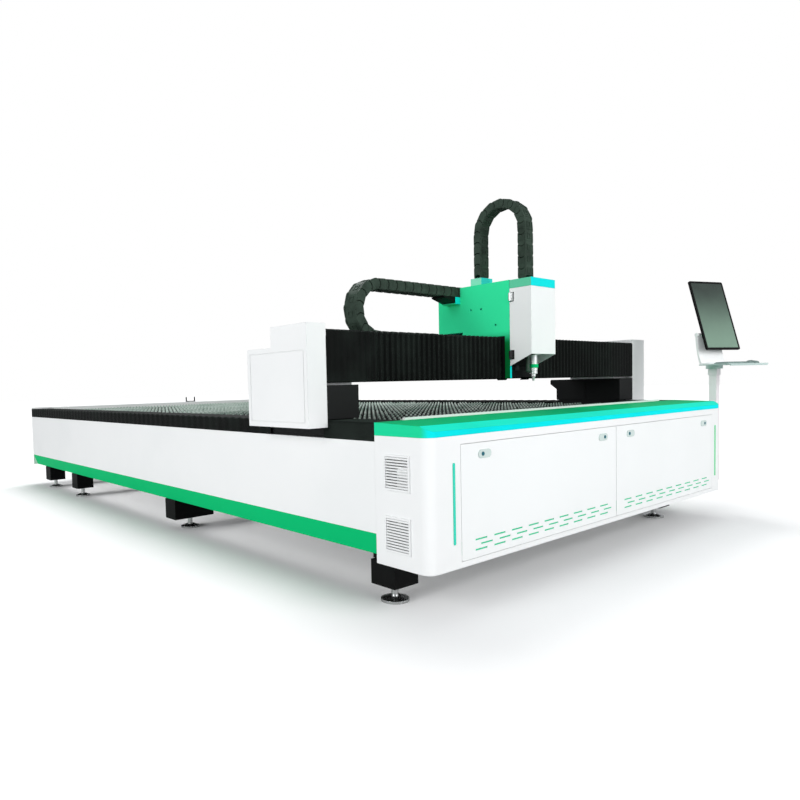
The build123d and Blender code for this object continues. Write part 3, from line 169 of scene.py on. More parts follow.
# %% Shader maths
class Flow:
    """One output of a shader node tree."""

    def __init__(self, tree, socket=None):
        self.tree = tree
        self.socket = socket

    def feed(self, target, value):
        """Connects or sets an input."""
        if isinstance(value, Flow):
            self.tree.links.new(value.socket, target)
        else:
            target.default_value = value

    def node(self, kind, inputs=None, out=0, **settings):
        """Any node: its settings are named and set first, and its inputs are given by name or number."""
        made = self.tree.nodes.new("ShaderNode" + kind)
        for key, value in settings.items():
            setattr(made, key, value)
        for key, value in (inputs or {}).items():
            self.feed(made.inputs[key], value)
        return Flow(self.tree, made.outputs[out])

    def math(self, operation, other=0.0):
        """A Math node on this output and another value."""
        return self.node("Math", {0: self, 1: other}, operation=operation)

    def __add__(self, other):
        return self.math("ADD", other)

    def __sub__(self, other):
        return self.math("SUBTRACT", other)

    def __rsub__(self, other):
        return self.node("Math", {0: other, 1: self}, operation="SUBTRACT")

    def __mul__(self, other):
        return self.math("MULTIPLY", other)

    __radd__ = __add__
    __rmul__ = __mul__

    def ramp(self, low, high):
        """Zero below low, one above high and a smooth rise between them."""
        inputs = {"Value": self, "From Min": low, "From Max": high}
        return self.node("MapRange", inputs, interpolation_type="SMOOTHSTEP")

    def noise(self, scale, detail=3.0, stretch=None):
        """Noise over these coordinates, about 0.5."""
        place = self
        if stretch:
            place = self.node("VectorMath", {0: self, 1: stretch}, operation="MULTIPLY")
        return self.node("TexNoise", {"Vector": place, "Scale": scale, "Detail": detail}, out="Fac")

    def axis(self, name):
        """One coordinate of a vector."""
        return self.node("SeparateXYZ", {0: self}, out=name)

    def mix(self, low, high):
        """A colour between two, by this output."""
        return self.node("Mix", {0: self, 6: low, 7: high}, out=2, data_type="RGBA", clamp_factor=True)


print("Flow has", [name for name in vars(Flow) if not name.startswith("_")])

# %% [markdown]
# ## What all finishes share
# Every finish starts from a Principled shader and Object coordinates, which stay with the piece in every pose. Real
# edges are never sharp. They could be bevelled in the mesh, which costs many faces. A Bevel node rounds them in the
# shading instead, and the same node tells where a finish is rubbed.

# %% Shader helpers
def srgb(red, green, blue):
    """A screen colour of 0 to 255 as linear light."""
    c = np.array([red, green, blue]) / 255
    linear = np.where(c <= 0.04045, c / 12.92, ((c + 0.055) / 1.055) ** 2.4)
    return (*linear.tolist(), 1.0)


def begin(name, metallic=0.0, specular=0.5, coat=0.0, ior=1.5):
    """A new material, its shader and its object coordinates."""
    material = bpy.data.materials.new(name)
    material.use_nodes = True
    shader = material.node_tree.nodes["Principled BSDF"]
    shader.inputs["Metallic"].default_value = metallic
    shader.inputs["Specular IOR Level"].default_value = specular
    shader.inputs["IOR"].default_value = ior
    shader.inputs["Coat Weight"].default_value = coat
    shader.inputs["Coat Roughness"].default_value = 0.12
    return material, shader, Flow(material.node_tree).node("TexCoord", out="Object")


def surface(shader, here, colour, roughness, height, depth, edge=0.0015):
    """Joins a colour, a roughness and a height to the shader, over edges that are softened a little."""
    soft = here.node("Bevel", {"Radius": edge}, samples=3)
    bump = here.node("Bump", {"Height": height, "Distance": depth, "Normal": soft})
    here.feed(shader.inputs["Base Color"], colour)
    here.feed(shader.inputs["Roughness"], roughness)
    here.feed(shader.inputs["Normal"], bump)


def edge_share(here, radius):
    """How close a point is to an edge: one minus the dot of the softened and the true normal."""
    soft = here.node("Bevel", {"Radius": radius}, samples=3)
    true = here.node("NewGeometry", out="Normal")
    dot = here.node("VectorMath", {0: soft, 1: true}, out="Value", operation="DOT_PRODUCT")
    return (1 - dot).ramp(0.02, 0.25)


print("middle grey in linear light:", np.round(srgb(128, 128, 128), 3))

# %% [markdown]
# ## Powder coat
# The sheet-metal panels are powder coated, which leaves a fine orange peel, faint clouds in the colour and some
# floor dust low down. The finish could be one flat colour, but that looks like plastic. So noise drives the clouds
# and the peel, and each paint is the same recipe with other numbers.

# %% Powder coat
def powder_coat(
    name, colour, dark, roughness=0.38, coat=0.1, dust=0.0, clouds=0.45, edges=0.25, band=None, ior=1.4
):
    """Paint: the colour drifts to a darker one in soft clouds and at edges, over an orange-peel bump. A band is a
    second colour between two heights."""
    material, shader, here = begin(name, coat=coat, ior=ior)
    drift = here.noise(1.7, 4.0).ramp(0.35, 0.75)
    speck = here.noise(60.0, 2.0).ramp(0.66, 0.8)
    height = here.axis("Z")
    low = height.ramp(0.30, 0.16) * here.noise(9.0, 5.0).ramp(0.4, 0.7) * dust
    shade = drift * clouds + speck * 0.10 + edge_share(here, 0.002) * edges + low
    tone = shade.mix(colour, dark)
    if band:
        inside = height.ramp(band[0], band[0] + 0.0005) * height.ramp(band[1], band[1] - 0.0005)
        tone = inside.mix(tone, band[2])
    surface(shader, here, tone, roughness + drift * 0.08, here.noise(420.0, 1.0), 0.00012, edge=0.002)
    return material


saddle_edge = (0.7868, 0.8002, srgb(244, 246, 246))
white_panel = powder_coat("white_panel", srgb(250, 251, 251), srgb(238, 241, 241), dust=0.2)
pale_rim = powder_coat("pale_rim", srgb(246, 248, 246), srgb(222, 228, 224))
post_paint = powder_coat("post_paint", srgb(246, 240, 243), srgb(226, 218, 222))
tray_paint = powder_coat("tray_paint", srgb(196, 214, 210), srgb(150, 174, 170), roughness=0.4)
grey_frame = powder_coat("grey_frame", srgb(206, 210, 208), srgb(176, 182, 180), roughness=0.45)
latch_trim = powder_coat("latch_trim", srgb(214, 228, 224), srgb(120, 146, 142), clouds=0.05, edges=0.8)
black_cover = powder_coat("black_cover", srgb(13, 14, 14), srgb(6, 7, 7), roughness=0.5, coat=0.0, ior=1.2)
saddle_paint = powder_coat(
    "saddle_paint", srgb(22, 24, 24), srgb(10, 11, 11), roughness=0.45, coat=0.0, ior=1.25, band=saddle_edge
)
green_stripe = powder_coat(
    "green_stripe", srgb(12, 204, 124), srgb(8, 190, 112), roughness=0.45, coat=0.0, clouds=0.3, ior=1.08
)
print(len(bpy.data.materials), "materials so far")

# %% [markdown]
# ## Dashed panels
# The two front panels are the same white, with rows of short dashes sunk into them and filled with mint. The dashes
# could be pieces of their own. They are grooves in the solid already, so the material only has to colour what lies
# between two depths and two heights.

# %% Dashed panels
def front_panel_paint(name, colour, dark, dash_low, dash_high, front):
    """The white of the panels, with the dashes' sunk floors in mint: points between two depths and two heights."""
    material, shader, here = begin(name, specular=0.4, coat=0.1)
    y, z = here.axis("Y"), here.axis("Z")
    sunk = y.ramp(front + 0.0004, front + 0.0009) * y.ramp(front + 0.0026, front + 0.0020)
    inside = sunk * z.ramp(dash_low - 0.001, dash_low) * z.ramp(dash_high + 0.001, dash_high)
    clouds = here.noise(1.7, 4.0).ramp(0.35, 0.75)
    shade = clouds * 0.45 + edge_share(here, 0.002) * 0.25
    mint = here.noise(30.0).mix(srgb(64, 220, 166), srgb(36, 204, 148))
    tone = inside.mix(shade.mix(colour, dark), mint)
    surface(shader, here, tone, 0.38 + clouds * 0.08, here.noise(420.0, 1.0), 0.00012, edge=0.002)
    return material


dash_low, dash_high = 0.196, 0.242
dashed_panel = front_panel_paint(
    "dashed_panel", srgb(250, 252, 252), srgb(242, 245, 244), dash_low, dash_high,
    float(corners("left_front_panel")[0][1]),
)
print("dashes from", dash_low, "to", dash_high, "m above the floor")

# %% [markdown]
# ## Green coats
# The cap, the carriage and the head's cap have a glossy green coat with a fine flake in its gloss, and their light
# and shade are painted into its tone: teal on faces to the front, and greener on the sides and on top. Each piece
# could have a material for every way that its faces point. One material that reads the normal is shorter and needs
# no list of faces.

# %% Green coats
def paint_shaded_by_facing(name, front, side, top, dark, shade_below=None):
    """Glossy paint with its light and shade painted on by the way a face points: one tone for faces to the front, one
    for the sides and one for the top. The last argument, if given, is a height and a tone of painted shade that the
    sides fall to below it."""
    material, shader, here = begin(name, ior=1.06)
    normal = here.node("TexCoord", out="Normal")
    # Painted light and shade: the tone is picked by the way each face points.
    facing = normal.axis("Y").ramp(-0.1, -0.95)
    upward = normal.axis("Z").ramp(0.92, 0.99)
    if shade_below:
        # Painted shade: below the given height the sides fall to a darker tone.
        side = here.axis("Z").ramp(shade_below[0] + 0.05, shade_below[0] - 0.02).mix(side, shade_below[1])
    tone = upward.mix(facing.mix(side, front), top)
    clouds = here.noise(2.2, 4.0).ramp(0.4, 0.8)
    colour = (clouds * 0.15 + edge_share(here, 0.002) * 0.1).mix(tone, dark)
    flake = here.noise(900.0, 1.0)
    surface(shader, here, colour, 0.4 + flake * 0.10, here.noise(380.0, 1.0), 0.0001, edge=0.003)
    return material


# The carriage's sides are painted a deeper green below this height, as painted shade.
carriage_shade = (0.985, srgb(6, 120, 56))
# Each paint gives a front, a side and a top tone of painted light and shade, then a darker tone for clouds and edges.
cap_paint = paint_shaded_by_facing(
    "cap_paint", srgb(14, 234, 238), srgb(36, 220, 160), srgb(2, 178, 112), srgb(8, 160, 112)
)
carriage_paint = paint_shaded_by_facing(
    "carriage_paint", srgb(20, 236, 230), srgb(58, 244, 172), srgb(36, 208, 136), srgb(20, 190, 122), carriage_shade
)
head_cap_paint = paint_shaded_by_facing(
    "head_cap_paint", srgb(24, 230, 230), srgb(104, 214, 172), srgb(60, 214, 170), srgb(50, 190, 160)
)
foot_paint = paint_shaded_by_facing(
    "foot_paint", srgb(64, 236, 236), srgb(150, 236, 208), srgb(110, 232, 206), srgb(90, 206, 186)
)
print(len(bpy.data.materials), "materials so far")

# %% [markdown]
# ## Ground and plated steel
# Guide rails, feet and fittings are ground, plated or chromed, with fine marks along their length. The marks could
# be a picture wrapped round the piece. Noise stretched along one axis gives the same marks at any size.

# %% Ground and plated steel
def steel(name, colour, dark, stretch, roughness=0.34, marks=0.4):
    """Ground steel: long scratches across the given stretch, soft stains and brighter edges."""
    material, shader, here = begin(name, metallic=1.0)
    scratch = here.noise(90.0, 4.0, stretch)
    stain = here.noise(6.0, 5.0).ramp(0.45, 0.8)
    bright = edge_share(here, 0.0015)
    tone = (stain * marks + scratch * 0.3 - bright * 0.4).mix(colour, dark)
    surface(shader, here, tone, roughness + scratch * 0.22 + stain * 0.1, scratch, 0.0001)
    return material


along_x, along_z, even = (0.05, 1.0, 1.0), (1.0, 1.0, 0.2), (1.0, 1.0, 1.0)
ground_steel = steel("ground_steel", srgb(190, 194, 194), srgb(120, 124, 125), along_x)
# Shaded steel is ground steel painted darker, as painted shade, for the rails and the stop that lie in shade.
shaded_steel = steel("shaded_steel", srgb(70, 74, 74), srgb(40, 42, 43), along_x, roughness=0.5)
zinc = steel("zinc", srgb(206, 210, 210), srgb(150, 154, 156), along_z, roughness=0.3)
chrome = steel("chrome", srgb(224, 227, 228), srgb(170, 174, 176), even, roughness=0.14, marks=0.2)
foot_steel = steel("foot_steel", srgb(236, 238, 238), srgb(130, 132, 132), even, roughness=0.14, marks=0.5)
print(len(bpy.data.materials), "materials so far")

# %% [markdown]
# ## Burnt slats
# The slats are mild steel that the beam burns, with specks of slag. They are pale at their points, partly bright
# steel and partly a painted highlight, and dark below, partly sooty and partly painted shade between the blades. The
# dark could be painted on as a picture. A ramp over the height does it for all blades at once, because their points
# stand at nearly the same height.

# %% Burnt slats
def slat_steel(name, low, high):
    """Mild steel: pale at the sawn points, partly as a painted highlight, and dark below them, partly sooty and
    partly painted shade, with burn marks and splashes of slag. Behind the middle of the bed the blades are painted
    paler as painted light, so the dark starts lower there and the burn marks are fainter."""
    material, shader, here = begin(name, metallic=0.15, specular=0.3)
    z = here.axis("Z")
    scale = here.noise(11.0, 6.0, (0.4, 1.0, 2.5)).ramp(0.35, 0.7)
    # Painted light: behind the middle of the bed the blades are painted paler.
    painted_rear_light = here.axis("Y").ramp(-0.5, 0.7)
    # Darker below the points: partly sooty steel and partly painted shade between the blades.
    soot_and_shade = (z + painted_rear_light * 0.009).ramp(high - 0.001, low)
    burn = z.ramp(low, high) * here.noise(24.0, 5.0).ramp(0.5, 0.68)
    drops = here.node("TexVoronoi", {"Vector": here, "Scale": 85.0}, out="Distance")
    slag = drops.ramp(0.22, 0.05) * burn
    # The pale points are bright steel with a painted highlight.
    pale = scale.mix(srgb(214, 228, 219), srgb(150, 176, 162))
    burnt = (burn * (0.3 - painted_rear_light * 0.2)).mix(pale, srgb(84, 92, 84))
    tone = soot_and_shade.mix(burnt, srgb(20, 24, 22))
    surface(shader, here, tone, 0.42 + scale * 0.18, scale * 0.4 + slag, 0.0008, edge=0.001)
    return material


# How far below the points the sooty dark and painted shade reach.
soot_and_shade_depth = 0.015
slat_low, slat_high = corners("slats")
sawn_steel = slat_steel("sawn_steel", float(slat_high[2]) - soot_and_shade_depth, float(slat_high[2]))
print("the slats' points reach", round(float(slat_high[2]), 3), "m")

# %% [markdown]
# ## Hinges and head
# The cover's upper hinge is bright metal, and the lower one is painted near-black as painted shade. The cutting head
# is turned alloy beside a rubber pipe, whose green tint is a painted reflection. Each is one solid with two tones.
# Its faces could be given two materials by hand. A mask over the height or the width is safer, because face numbers
# change when the solid is made anew.

# %% Hinges and head
def metal_over_shade(name, upper, lower, split):
    """Bright metal above a height, and below it a near-black tone of painted shade."""
    material, shader, here = begin(name, specular=0.4)
    above = here.axis("Z").ramp(split - 0.01, split + 0.01)
    marks = here.noise(40.0, 4.0)
    here.feed(shader.inputs["Metallic"], above * 0.6)
    # Painted shade: below the split the tone falls to the near-black one.
    tone = (marks * 0.25).mix(above.mix(lower, upper), srgb(60, 64, 64))
    surface(shader, here, tone, 0.25 + marks * 0.2, marks, 0.0001)
    return material


def head_metal(name, axis_x, top):
    """Turned alloy, with a black hose on the pipe that stands at the left of the head's axis, below a height. The
    hose is tinted green as a painted reflection.
    """
    material, shader, here = begin(name, specular=0.4)
    pipe = here.axis("X").ramp(axis_x - 0.022, axis_x - 0.026) * here.axis("Z").ramp(top, top - 0.004)
    turned = here.noise(120.0, 3.0, (0.1, 0.1, 1.0))
    here.feed(shader.inputs["Metallic"], (1 - pipe) * 0.6)
    alloy = (turned * 0.5).mix(srgb(244, 246, 246), srgb(196, 202, 202))
    # Painted reflection: the black pipe is tinted green.
    rubber_and_reflection = here.noise(50.0).mix(srgb(38, 74, 54), srgb(18, 34, 26))
    surface(shader, here, pipe.mix(alloy, rubber_and_reflection), 0.28 + turned * 0.2, turned, 0.0001)
    return material


hinge_split, pipe_top = 1.05, 0.94
ring_low, ring_high = corners("sensor_ring")
head_axis = (ring_low + ring_high) / 2 * [1, 1, 0]
# The lower hinge is painted near-black as painted shade; the upper one is bright metal.
hinge_metal = metal_over_shade("hinge_metal", srgb(236, 238, 238), srgb(16, 17, 17), hinge_split)
head_alloy = head_metal("head_alloy", float(head_axis[0]), pipe_top)
print("the head's axis is at", np.round(head_axis[:2], 3))

# %% [markdown]
# ## Coated cloth
# The folded covers are a thin black cloth with a coat against sparks. Its weave could be real threads, far too many
# to draw. Two crossed sine waves in the bump give the same fine grain, and the folds are painted paler, partly as
# wear and partly as a painted sheen on their ridges.

# %% Coated cloth
def cloth(name, colour, wear_and_sheen):
    """Coated cloth: a fine weave of two crossed waves, dust in soft clouds, and along the folds a paler tone that is
    partly wear and partly a painted sheen.
    """
    material, shader, here = begin(name, ior=1.15)
    x, y, z = (here.axis(a) for a in "XYZ")
    warp = (x + z) * 2600.0
    weft = (y + z * 0.7) * 2600.0
    weave = warp.math("SINE") * weft.math("SINE")
    dust = here.noise(7.0, 5.0).ramp(0.4, 0.8)
    # Partly wear, partly painted sheen: the fold edges turn towards the paler colour.
    tone = (dust * 0.15 + edge_share(here, 0.003) * 0.8).mix(colour, wear_and_sheen)
    surface(shader, here, tone, 0.5 + dust * 0.15, weave, 0.00015, edge=0.0008)
    return material


# The second colour is the paler tone of wear and painted sheen on the fold ridges.
bellows_cloth = cloth("bellows_cloth", srgb(13, 15, 14), srgb(66, 78, 72))
print(len(bpy.data.materials), "materials so far")

# %% [markdown]
# ## Moulded plastic
# Chain links, keys and buttons are moulded, with a fine grain from the mould and edges that wear pale. The wear
# could be painted by hand. The Bevel node finds every edge by itself, on each of the many links.

# %% Moulded plastic
def moulded(name, colour, dark, roughness=0.5, grain=700.0, ior=1.45):
    """Moulded plastic: a fine grain, faint flow marks and edges rubbed paler."""
    material, shader, here = begin(name, ior=ior)
    marks = here.noise(14.0, 4.0).ramp(0.4, 0.75)
    tone = (marks * 0.6 - edge_share(here, 0.0015) * 0.5).mix(colour, dark)
    surface(shader, here, tone, roughness + marks * 0.12, here.noise(grain, 2.0), 0.0001, edge=0.001)
    return material


chain_plastic = moulded("chain_plastic", srgb(58, 73, 63), srgb(28, 36, 31), ior=1.2)
black_plastic = moulded("black_plastic", srgb(8, 9, 9), srgb(3, 4, 4), roughness=0.45, ior=1.2)
key_plastic = moulded("key_plastic", srgb(128, 148, 144), srgb(88, 104, 101), roughness=0.55)
button_teal = moulded("button_teal", srgb(18, 108, 124), srgb(8, 70, 86), roughness=0.3)
print(len(bpy.data.materials), "materials so far")

# %% [markdown]
# ## Light strips and screen
# The strips on the cabinet glow a little of their own, and the screen is dark glass that pales towards its foot. A
# lamp in each strip would also light the panels beside it. A faint emission in the material is enough.

# %% Light strips and screen
def light_bar(name, left, right):
    """A lit strip with a soft glow of its own, teal at the left of the machine and green at its right."""
    material, shader, here = begin(name, coat=0.3)
    side = here.axis("X").ramp(-0.5, 0.5).mix(left, right)
    tone = (here.noise(18.0, 2.0) * 0.1).mix(side, srgb(150, 250, 215))
    here.feed(shader.inputs["Emission Color"], tone)
    shader.inputs["Emission Strength"].default_value = 0.12
    surface(shader, here, tone, 0.2 + here.noise(120.0) * 0.1, here.noise(200.0), 0.00005)
    return material


def screen_glass(name, low, high):
    """A dark screen that pales towards its foot, under clear gloss."""
    material, shader, here = begin(name, coat=0.35)
    rise = here.axis("Z").ramp(low, high)
    haze = here.noise(9.0, 3.0) * 0.16
    tone = (rise + haze - 0.08).mix(srgb(124, 152, 134), srgb(42, 54, 48))
    surface(shader, here, tone, 0.12 + here.noise(40.0) * 0.05, here.noise(300.0), 0.00002)
    return material


strip_light = light_bar("strip_light", srgb(0, 206, 178), srgb(96, 214, 146))
screen_low, screen_high = corners("screen")
display_glass = screen_glass("display_glass", float(screen_low[2]), float(screen_high[2]))
print(len(bpy.data.materials), "materials so far")

# %% [markdown]
# ## Finishes on the solids
# The record gives each node a slot, such as white panel or black paint. Finishes could be picked by hand, node by
# node. Two tables do it in one loop: most nodes take the finish of their slot, and the few that differ are named one
# by one. Some differ on the real machine, and the rails, the stop and the head's back plate take a darker finish as
# painted shade, where they lie in shade.

# %% Finishes on the solids
by_slot = {
    "panel_white": white_panel,
    "green_paint": green_stripe,
    "teal_paint": carriage_paint,
    "frame_grey": grey_frame,
    "black_paint": black_cover,
    "machined_steel": ground_steel,
    "slat_steel": sawn_steel,
    "bellows_cloth": bellows_cloth,
    "chain_plastic": chain_plastic,
    "black_plastic": black_plastic,
    "light_plastic": strip_light,
    "head_aluminium": head_alloy,
    "screen_glass": display_glass,
    "chrome_trim": chrome,
    "zinc_steel": zinc,
}
by_node = {
    "cabinet_cap": cap_paint,
    "carriage_housing": carriage_paint,
    "head_cap": head_cap_paint,
    "z_chain_foot": foot_paint,
    "left_front_panel": dashed_panel,
    "right_front_panel": dashed_panel,
    "left_latch_plates": latch_trim,
    "right_latch_plates": latch_trim,
    "left_saddle": saddle_paint,
    "right_saddle": saddle_paint,
    "slat_frame": pale_rim,
    "levelling_feet": foot_steel,
    "cover_hinges": hinge_metal,
    "console_tray": tray_paint,
    "console_post": post_paint,
    "gantry_beam": black_cover,
    # Painted shade: these rails, the stop and the head's back plate take darker finishes where they lie in shade.
    "beam_rails": shaded_steel,
    "head_back_plate": black_cover,
    "lift_rails": shaded_steel,
    "rear_stop": shaded_steel,
}
by_node.update({part["node"]: button_teal for part in record["subparts"] if "latch_button" in part["node"]})
for part in record["subparts"]:
    obj = frame["nodes"][part["node"]]
    obj.data.materials.clear()
    obj.data.materials.append(by_node.get(part["node"], by_slot[part["material_slot"]]))
print(len(by_node), "nodes have a finish of their own")

# %% [markdown]
# ## Folded covers
# The covers keep chips off the guide rails. Each is a strip of coated cloth folded to and fro, with a narrow hem at
# every fold. One fold could be copied by an Array modifier, but the folds near an end are flatter than the rest. So
# the section is drawn in by the fold's depth at each station along the travel, and the whole cover is one grid.

# %% Folds
def folds(start, end, count, hem=0.16):
    """Stations along a folded cover and the depth share at each: a flat hem outside, a flat hem inside, and straight
    sides between them."""
    share = np.array([0.0, hem, 0.5, 0.5 + hem])
    stations = (np.arange(count)[:, None] + share).ravel() / count
    depth = np.tile([0.0, 0.0, 1.0, 1.0], count)
    return start + (end - start) * np.append(stations, 1.0), np.append(depth, 0.0)


def folded_cover(stations, depth, section, travel):
    """A three-sided cover: its front steps inward by the depth at every station, and its edges by a third of that.
    Travel is the axis that the stations run along."""
    low, high, back, front, cut = section
    inset = depth[:, None]
    away = np.sign(back - front)
    flat = np.array([back, front, front, front, front, back]) + away * cut * np.array([0, 1, 0, 0, 1, 0])
    across = flat + away * inset * np.array([0, 1, 1, 1, 1, 0])
    edges = np.array([low, low, low + cut, high - cut, high, high])
    along = edges + inset / 3 * np.array([1, 1, 1, -1, -1, -1])
    run = np.broadcast_to(stations[:, None], along.shape)
    order = {"x": (run, across, along), "y": (along, run, across)}[travel]
    return grid(np.stack(order, -1))


print("one fold has its stations at", folds(0, 1, 1)[0])

# %% [markdown]
# The rail covers lie on both sides of the bed. The front pair is nearly shut at rest and the rear pair is drawn out,
# so they hold the same number of folds. The front pair is baked in place, and the rear pair is carried with the bed.

# %% Rail covers
rail_cover_width, rail_cover_cut = 0.152, 0.004
rail_fold_count, rail_fold_depth = 58, 0.004
for name in ("front_rail_bellows", "rear_rail_bellows"):
    low, high = corners(name)
    stations, depth = folds(low[1], high[1], rail_fold_count)
    left = (low[0], low[0] + rail_cover_width, low[2], high[2], rail_cover_cut)
    right = (high[0] - rail_cover_width, high[0], low[2], high[2], rail_cover_cut)
    shape = merged(*[folded_cover(stations, depth * rail_fold_depth, s, "y") for s in (left, right)])
    cover = piece(name + "_cloth", shape, bellows_cloth)
    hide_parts(name)
    if name.startswith("front"):
        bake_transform(cover)
    else:
        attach(cover, "bed")
        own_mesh(cover)

# %% [markdown]
# The beam covers run from the gantry's ends to the carriage. Their folds are flatter near the fixed end. The last
# hem laps over the carriage's edge and flares forward to it, so that no light shows between them.

# %% Beam covers
beam_fold_count, beam_fold_depth, beam_hem, beam_cover_cut = 35, 0.010, 0.2, 0.005
hem_lap, end_flare = 0.0085, 0.0165
for name, fixed, moving in (("left_beam_bellows", 0, 1), ("right_beam_bellows", 1, 0)):
    low, high = corners(name)
    low[0] -= hem_lap * (moving == 0)
    high[0] += hem_lap * (moving == 1)
    ends = (low[0], high[0])
    stations, depth = folds(low[0], high[0], beam_fold_count, beam_hem)
    away = np.abs(stations - ends[fixed]) / (high[0] - low[0])
    depth = depth * beam_fold_depth * np.clip(away * 6.0 - 0.7, 0.1, 1)
    depth[-moving] = -end_flare
    section = (low[2], high[2], high[1], low[1], beam_cover_cut)
    shape = folded_cover(stations, depth, section, "x")
    cover = piece(name + "_cloth", shape, bellows_cloth)
    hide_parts(name)
    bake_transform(cover)

# %% [markdown]
# ## Slats
# The slats are cut from plate with a row of points, so that the sheet above rests on little steel. A tooth could be
# drawn once and arrayed. Here each blade is a narrow section carried along its length, and its top follows the row of
# points, because old cuts have nicked some points short and no two blades stand at quite the same height.

# %% Slats
rng = np.random.default_rng(7)
slat_thickness, slat_pitch = 0.006, 0.128
tooth_pitch, tooth_height = 0.030, 0.022
nick_share, nick_depth, height_spread = 0.10, 0.6, 0.002


def sawn_blades(rows, low, high):
    """Blades across the bed: at each station the section is a thin upright rectangle whose top is the height of a
    trapezoid wave, less a random nick."""
    teeth = int(round((high[0] - low[0]) / tooth_pitch))
    share = np.array([0.0, 0.44, 0.56])
    along = np.append((np.arange(teeth)[:, None] + share).ravel() / teeth, 1.0)
    x = low[0] + (high[0] - low[0]) * along
    wave = np.append(np.tile([0.0, 1.0, 1.0], teeth), 0.0)
    points = (len(rows), len(x))
    nick = np.where(rng.random(points) < nick_share, rng.random(points) * nick_depth, 0.0)
    lowered = rng.random((len(rows), 1)) * height_spread
    top = high[2] - tooth_height + tooth_height * wave * (1 - nick) - lowered
    foot = np.full_like(x, low[2])
    shapes = []
    for y, crest in zip(rows, top):
        near, far = np.full_like(x, y - slat_thickness / 2), np.full_like(x, y + slat_thickness / 2)
        ring = [(near, foot), (near, crest), (far, crest), (far, foot)]
        table = np.stack([np.column_stack([x, a, b]) for a, b in ring], 1)
        shapes.append(grid(table, closed=True, capped=True))
    return merged(*shapes)


slat_span = slat_high[1] - slat_low[1] - slat_thickness
slat_gaps = int(round(slat_span / slat_pitch))
slat_rows = slat_low[1] + slat_thickness / 2 + np.linspace(0, slat_span, slat_gaps + 1)
slats = piece("sawn_slats", sawn_blades(slat_rows, slat_low, slat_high), sawn_steel)
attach(slats, "bed")
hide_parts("slats")
print(len(slat_rows), "slats")

# %% [markdown]
# ## Cable chains
# A cable chain is a row of shut links that leads cables and hoses to a moving part. Every link has two side plates
# with a round nose that turns in the next plate, and two lids that hold the cables in, each with a small raised frame
# at its catch. A curve with an Array modifier would bend the links themselves. Real links stay stiff, so one link is
# drawn and set down at equal steps along a hairpin, which is two straight runs and a half turn.

# %% Plates and frames
def prism(outline, low, high):
    """A flat outline at two heights, joined by a band of faces."""
    rings = np.stack([np.column_stack([outline, np.full(len(outline), h)]) for h in (low, high)])
    return grid(rings, closed=True, capped=True)


def arc(centre, radius, start, end, count=10):
    """Points on an arc, from one angle to another in degrees: the centre plus radius times cosine and sine."""
    a = np.radians(np.linspace(start, end, count))
    return centre + radius * np.column_stack([np.cos(a), np.sin(a)])


def frame_ring(u, v, w, inset):
    """A flat raised frame: an outer rectangle and one drawn in by the inset, each at a lower and an upper level,
    joined all round. U and w are the outer limits along and across, and v is the two levels."""
    def loop(step, level):
        a, b, c, d = u[0] + step, u[1] - step, w[0] + step, w[1] - step
        return np.array([[a, level, c], [b, level, c], [b, level, d], [a, level, d]])

    around = [(0, v[0]), (0, v[1]), (inset, v[1]), (inset, v[0]), (0, v[0])]
    return grid(np.stack([loop(*place) for place in around]), closed=True)


print("a catch frame has", len(frame_ring((0, 1), (0, 1), (0, 1), 0.2)[1]), "faces")

# %% [markdown]
# A link is eight small solids: two plates, two thicker tails, two lids and two frames. It could be cut from one block
# with Booleans. Separate solids that bite a little into each other look the same and have far fewer faces, which
# counts for a shape that is repeated.

# %% One link
def chain_link(length, height, width):
    """One link along X: side plates with a nose and a socket, a thicker tail on each, and lids with a catch frame.
    The outer lid's tail dips below the lid before it, so a bend stays shut. A plate's outline is an arc round
    the nose and an arc round the socket."""
    half, plate, proud = height / 2, 0.008, 0.0018
    gap, play, lip, clearance, bite, flush = 0.0026, 0.0006, 0.004, 0.0008, 0.0005, 0.0002
    nose, socket = np.array([length, 0.0]), np.array([0.0, 0.0])
    outline = np.concatenate([arc(nose, half - play, 90, -90), arc(socket, half + gap, -58, 58)])
    pad = np.concatenate([
        arc(socket, half + gap + 0.001, -50, 50), [[length * 0.86, half - lip]],
        arc(nose * 1.25, half * 0.95, 130, 230, 8), [[length * 0.86, lip - half]],
    ])
    shapes = []
    for edge, inward in ((0.0, 1), (width, -1)):
        outer, inner = edge + inward * proud, edge + inward * (proud + plate)
        shapes.append(prism(outline, *sorted((outer, inner))))
        shapes.append(prism(pad, *sorted((edge, outer + inward * bite))))
    lid_depths = np.array([0.0115, 0.0072, 0.0072, 0.0027, 0.0027, 0.0075])
    for side, start, end, tail in ((-1, 0.08, 0.97, 0.32), (1, 0.16, 0.95, 0.20)):
        u = length * np.array([start - tail, start, end, end, start, start - tail])
        lid = np.column_stack([u, side * (half - lid_depths)])
        shapes.append(prism(lid, proud + clearance, width - proud - clearance))
        catch_u = (length * (start + 0.20), length * (end - 0.20))
        catch_v = (side * (half - lip), side * (half - flush))
        shapes.append(frame_ring(catch_u, catch_v, (width * 0.32, width * 0.68), lip))
    return merged(*shapes)


print("one link has", len(chain_link(0.055, 0.052, 0.084)[0]), "points")

# %% [markdown]
# When the free end of a real chain moves, its bend moves half as far. A blend between two bodies could do that too:
# the two places that it passes between would be put far off on either side of the bend, so every link of the bend
# gets half of the motion, and the runs beside it from half to all of it, or to none. The places are worked out here
# for each stretch, but no blend is made, and the links are baked where they lie at rest.

